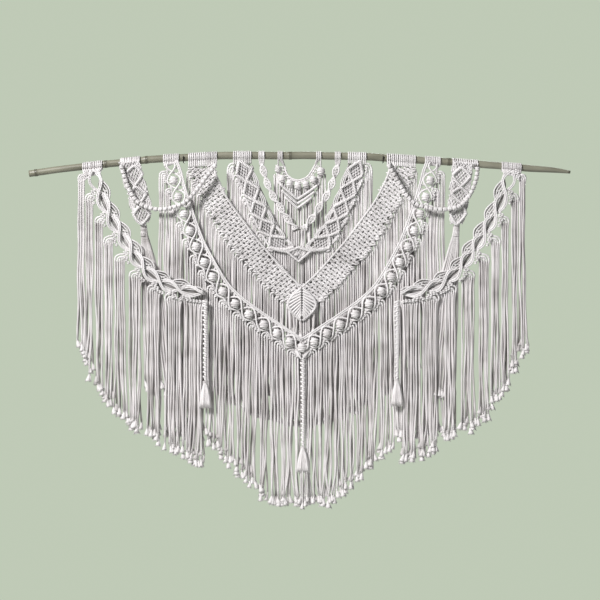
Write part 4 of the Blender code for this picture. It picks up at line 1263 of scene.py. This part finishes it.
def hang(cords, start, x, depth, end, size=1.3, radius=2.2, drift=4.0, places=None, sides=6, tint=None):
    """One fringe cord: from its root it swings out to its own line, then hangs to a brushed end."""
    start = np.asarray(start, dtype=float)
    drop = start[2] - end - TUFT
    levels = [0.0, 7.0, 16.0, 28.0]
    levels += list(np.linspace(28.0, drop, max(3, round(drop / 22)))[1:])
    levels = np.array([level for level in levels if level <= drop])
    ease = np.interp(levels, (0, 7, 16, 28, 60), (0, 0.45, 0.78, 0.93, 1))
    path = np.stack((start[0] + (x - start[0]) * ease, start[1] + (depth - start[1]) * ease,
                     start[2] - levels), axis=1)
    late = np.clip((levels / drop - 0.2) / 0.8, 0, 1) ** 1.4
    if places is not None:
        gather = cords.random.uniform(0.1, 0.75) * min(1.0, drop / 150)
        path[:, 0] += (places[np.abs(places - x).argmin()] - x) * gather * late
    path[:, 0] += cords.random.normal(0, drift) * late * min(1.0, drop / 250)
    path[:, 0] += cords.random.normal(0, 3.4) * np.clip((levels - drop + 90) / 90, 0, 1) ** 1.7
    path += sway(cords, path, size)
    cords.lay(path, radius, sides, tint=tint)
    # A cord given a tint is a back cord in painted shade, and its tuft is painted darker too.
    cords.tuft(path[-1], tint=1.0 if tint is None else 0.3)


def make_fringe(name, tops, seed, behind=(), axis=0.0, ragged=9.0, size=1.7, drift=4.0):
    """A fringe of two layers: the front one hangs from the band's own cords, which end at tops."""
    cords = Cords(seed)
    depth = DEPTHS[name]
    places = gathers(cords, -330, 330)
    for n, top in enumerate(tops):
        x = top[0]
        end = height_at(ENDS[name], abs(x - axis)) + cords.random.uniform(-ragged, ragged)
        own = depth - 1.3 + 0.8 * (-1) ** n + cords.random.uniform(-0.4, 0.4)
        hang(cords, top + (0, 0, 1.5), x + cords.random.uniform(-0.9, 0.9), own, end, size, places=places,
             drift=drift)
    for x in behind:
        root = height_at(ROOTS[name], abs(x - axis)) + 3
        end = height_at(ENDS[name], abs(x - axis)) + cords.random.uniform(0, 3 * ragged)
        # The back layer's tint below zero is painted shade.
        hang(cords, flat(x, root, depth + 1.5), x + cords.random.uniform(-2, 2), depth + 2.0, end, size,
             2.0, drift, places, 4, cords.random.uniform(-1.0, -0.4))
    cords.make(f"{name}_cords", name, look=HANGING)


def make_swag_fringe(name, side):
    """Bunches that draw together as they fall, with cords between and behind their own that are painted dark
    as shade.
    """
    cords = Cords(50 + side)
    depth = DEPTHS["swag_fringe"]
    for _, downs in swag_bundles(side):
        middle = downs[:, 0].mean()
        between = (downs[1:] + downs[:-1]) / 2
        for n, down in enumerate(np.vstack((downs, between))):
            behind = n >= len(downs)
            x = down[0] + (middle - down[0]) * cords.random.uniform(0, 0.3)
            end = height_at(ENDS["swag_fringe"], abs(x)) + cords.random.uniform(-9, 9) + (12 if behind else 0)
            start = down + ((0, 3, 0) if behind else (0, 0, 1.5))
            own = depth + (2.2 if behind else 0.7 * (-1) ** n - 0.6)
            # The cords between and behind get a tint below zero: painted shade.
            hang(cords, start, x + cords.random.uniform(-0.8, 0.8), own, end, 1.3, drift=3.0,
                 tint=cords.random.uniform(-1.0, -0.4) if behind else None)
    cords.make(f"swag_fringe_cords_{name}", f"swag_fringe_{name}", look=HANGING)


def downs_of(bundles):
    """Where every cord of both halves of a band has turned down."""
    return [down for side in (-1, 1) for _, downs in bundles(side) for down in downs]


def tops_along(name, places, depth, axis=0.0):
    return [flat(x, height_at(ROOTS[name], abs(x - axis)), depth) for x in places]


# Short fringes: half width, cords in front and behind, seed, axis, ragged ends and sway.
SHORT_FRINGES = {
    "crescent_fringe": (59, 20, 13, 63, DIAMOND_AXIS, 9.0, 1.3),
    "spiral_fringe": (24, 10, 0, 64, DIAMOND_AXIS, 2.0, 0.5),
    "leaf_fringe": (29, 12, 9, 65, 0.0, 4.0, 0.6),
}


def make_fringes():
    for name, side in BOTH:
        make_swag_fringe(name, side)
    make_fringe("berry_fringe", downs_of(berry_bundles), 60, spread(-302, 302, 68))
    make_fringe("net_fringe", downs_of(net_bundles), 61, spread(-240, 240, 52))
    middle = tops_along("diamond_fringe", DIAMOND_AXIS + spread(-52, 52, 22), DEPTHS["diamond_band"] + 1,
                        DIAMOND_AXIS)
    make_fringe("diamond_fringe", downs_of(diamond_bundles) + middle, 62,
                DIAMOND_AXIS + spread(-140, 140, 36), DIAMOND_AXIS)
    for name, (half, count, behind, seed, axis, ragged, size) in SHORT_FRINGES.items():
        tops = tops_along(name, axis + spread(-half, half, count), DEPTHS[name], axis)
        hidden = axis + spread(-half + 4, half - 4, behind)
        make_fringe(name, tops, seed, hidden, axis, ragged, size, ragged / 3)


# --------------------------------------------------------------------- stage, light and camera

FRAME_WIDTH = 1.32           # metres across the picture at the middle of the layers
MIDDLE_LAYER = 0.012         # how far in front of the rod's axis that is
CAMERA_DISTANCE = 3.6
PICTURE_CENTRE = (-0.0044, -0.319)
FLOOR_HEIGHT = -1.55
FLOOR_COLOUR = (0.72, 0.73, 0.69, 1)
WALL_COLOUR = (0.525, 0.592, 0.472, 1)       # what the camera sees behind the hanging
SOFT_LIGHT = (0.98, 1.0, 0.97, 1)
LIT_PLACE = (0, 0, -0.35)
LAMP_SIZE = 1.6
# Lamps: place, watts and colour.
LAMPS = {
    "key": ((-3.3, -3.85, 2.9), 508, (1.0, 0.982, 0.985)),
    "fill": ((0.8, -2.2, -1.0), 7, (0.96, 0.98, 1.0)),
    "back": ((0.6, 2.4, 0.5), 60, (0.97, 1.0, 0.98)),
}


def make_stage():
    bpy.ops.mesh.primitive_plane_add(size=3.0, location=(0, 0, FLOOR_HEIGHT))
    floor = bpy.context.object
    floor.name = "floor"
    material, _, _ = new_material("floor", Base_Color=FLOOR_COLOUR, Roughness=0.9)
    floor.data.materials.append(material)
    world = bpy.data.worlds.new("studio")
    bpy.context.scene.world = world
    world.use_nodes = True
    tree = world.node_tree
    seen = tree.nodes["Background"]
    seen.inputs["Color"].default_value = WALL_COLOUR
    ambient = add_node(tree, "ShaderNodeBackground", Color=SOFT_LIGHT, Strength=0.03)[0]
    direct = add_node(tree, "ShaderNodeLightPath")["Is Camera Ray"]
    mixed = add_node(tree, "ShaderNodeMixShader", _0=direct, _1=ambient, _2=seen.outputs[0])[0]
    tree.links.new(mixed, tree.nodes["World Output"].inputs["Surface"])
    bpy.context.scene.view_settings.view_transform = "Standard"


def make_lights():
    for name, (place, power, colour) in LAMPS.items():
        data = bpy.data.lights.new(name, "AREA")
        data.shape = "DISK"
        data.size = LAMP_SIZE
        data.energy = power
        data.color = colour
        light = bpy.data.objects.new(name, data)
        light.location = place
        light.rotation_euler = (Vector(LIT_PLACE) - Vector(place)).to_track_quat("-Z", "Y").to_euler()
        bpy.context.collection.objects.link(light)


def make_camera():
    data = bpy.data.cameras.new("camera")
    data.sensor_width = 36.0
    data.lens = data.sensor_width * (CAMERA_DISTANCE - MIDDLE_LAYER) / FRAME_WIDTH
    camera = bpy.data.objects.new("camera", data)
    camera.location = (PICTURE_CENTRE[0], -CAMERA_DISTANCE, PICTURE_CENTRE[1])
    camera.rotation_euler = (math.radians(90), 0, 0)
    bpy.context.collection.objects.link(camera)
    bpy.context.scene.camera = camera


make_stage()
make_lights()
make_camera()
make_rod()
make_hooks()
for name, side in BOTH:
    make_swag(name, side)
    make_tongue(name, side)
    make_tail(name, side)
    make_spiral(name, side)
    make_chain(name)
make_berry_band()
make_net_band()
make_diamond_band()
make_crescent()
make_leaf()
make_fringes()
for name, (x, layer, top, bottom, width, length, loose) in BRAIDS.items():
    make_braid(name, x, DEPTHS[layer], top, bottom)
    make_tassel(name, x, DEPTHS[layer], bottom - 0.3, width, length, loose)
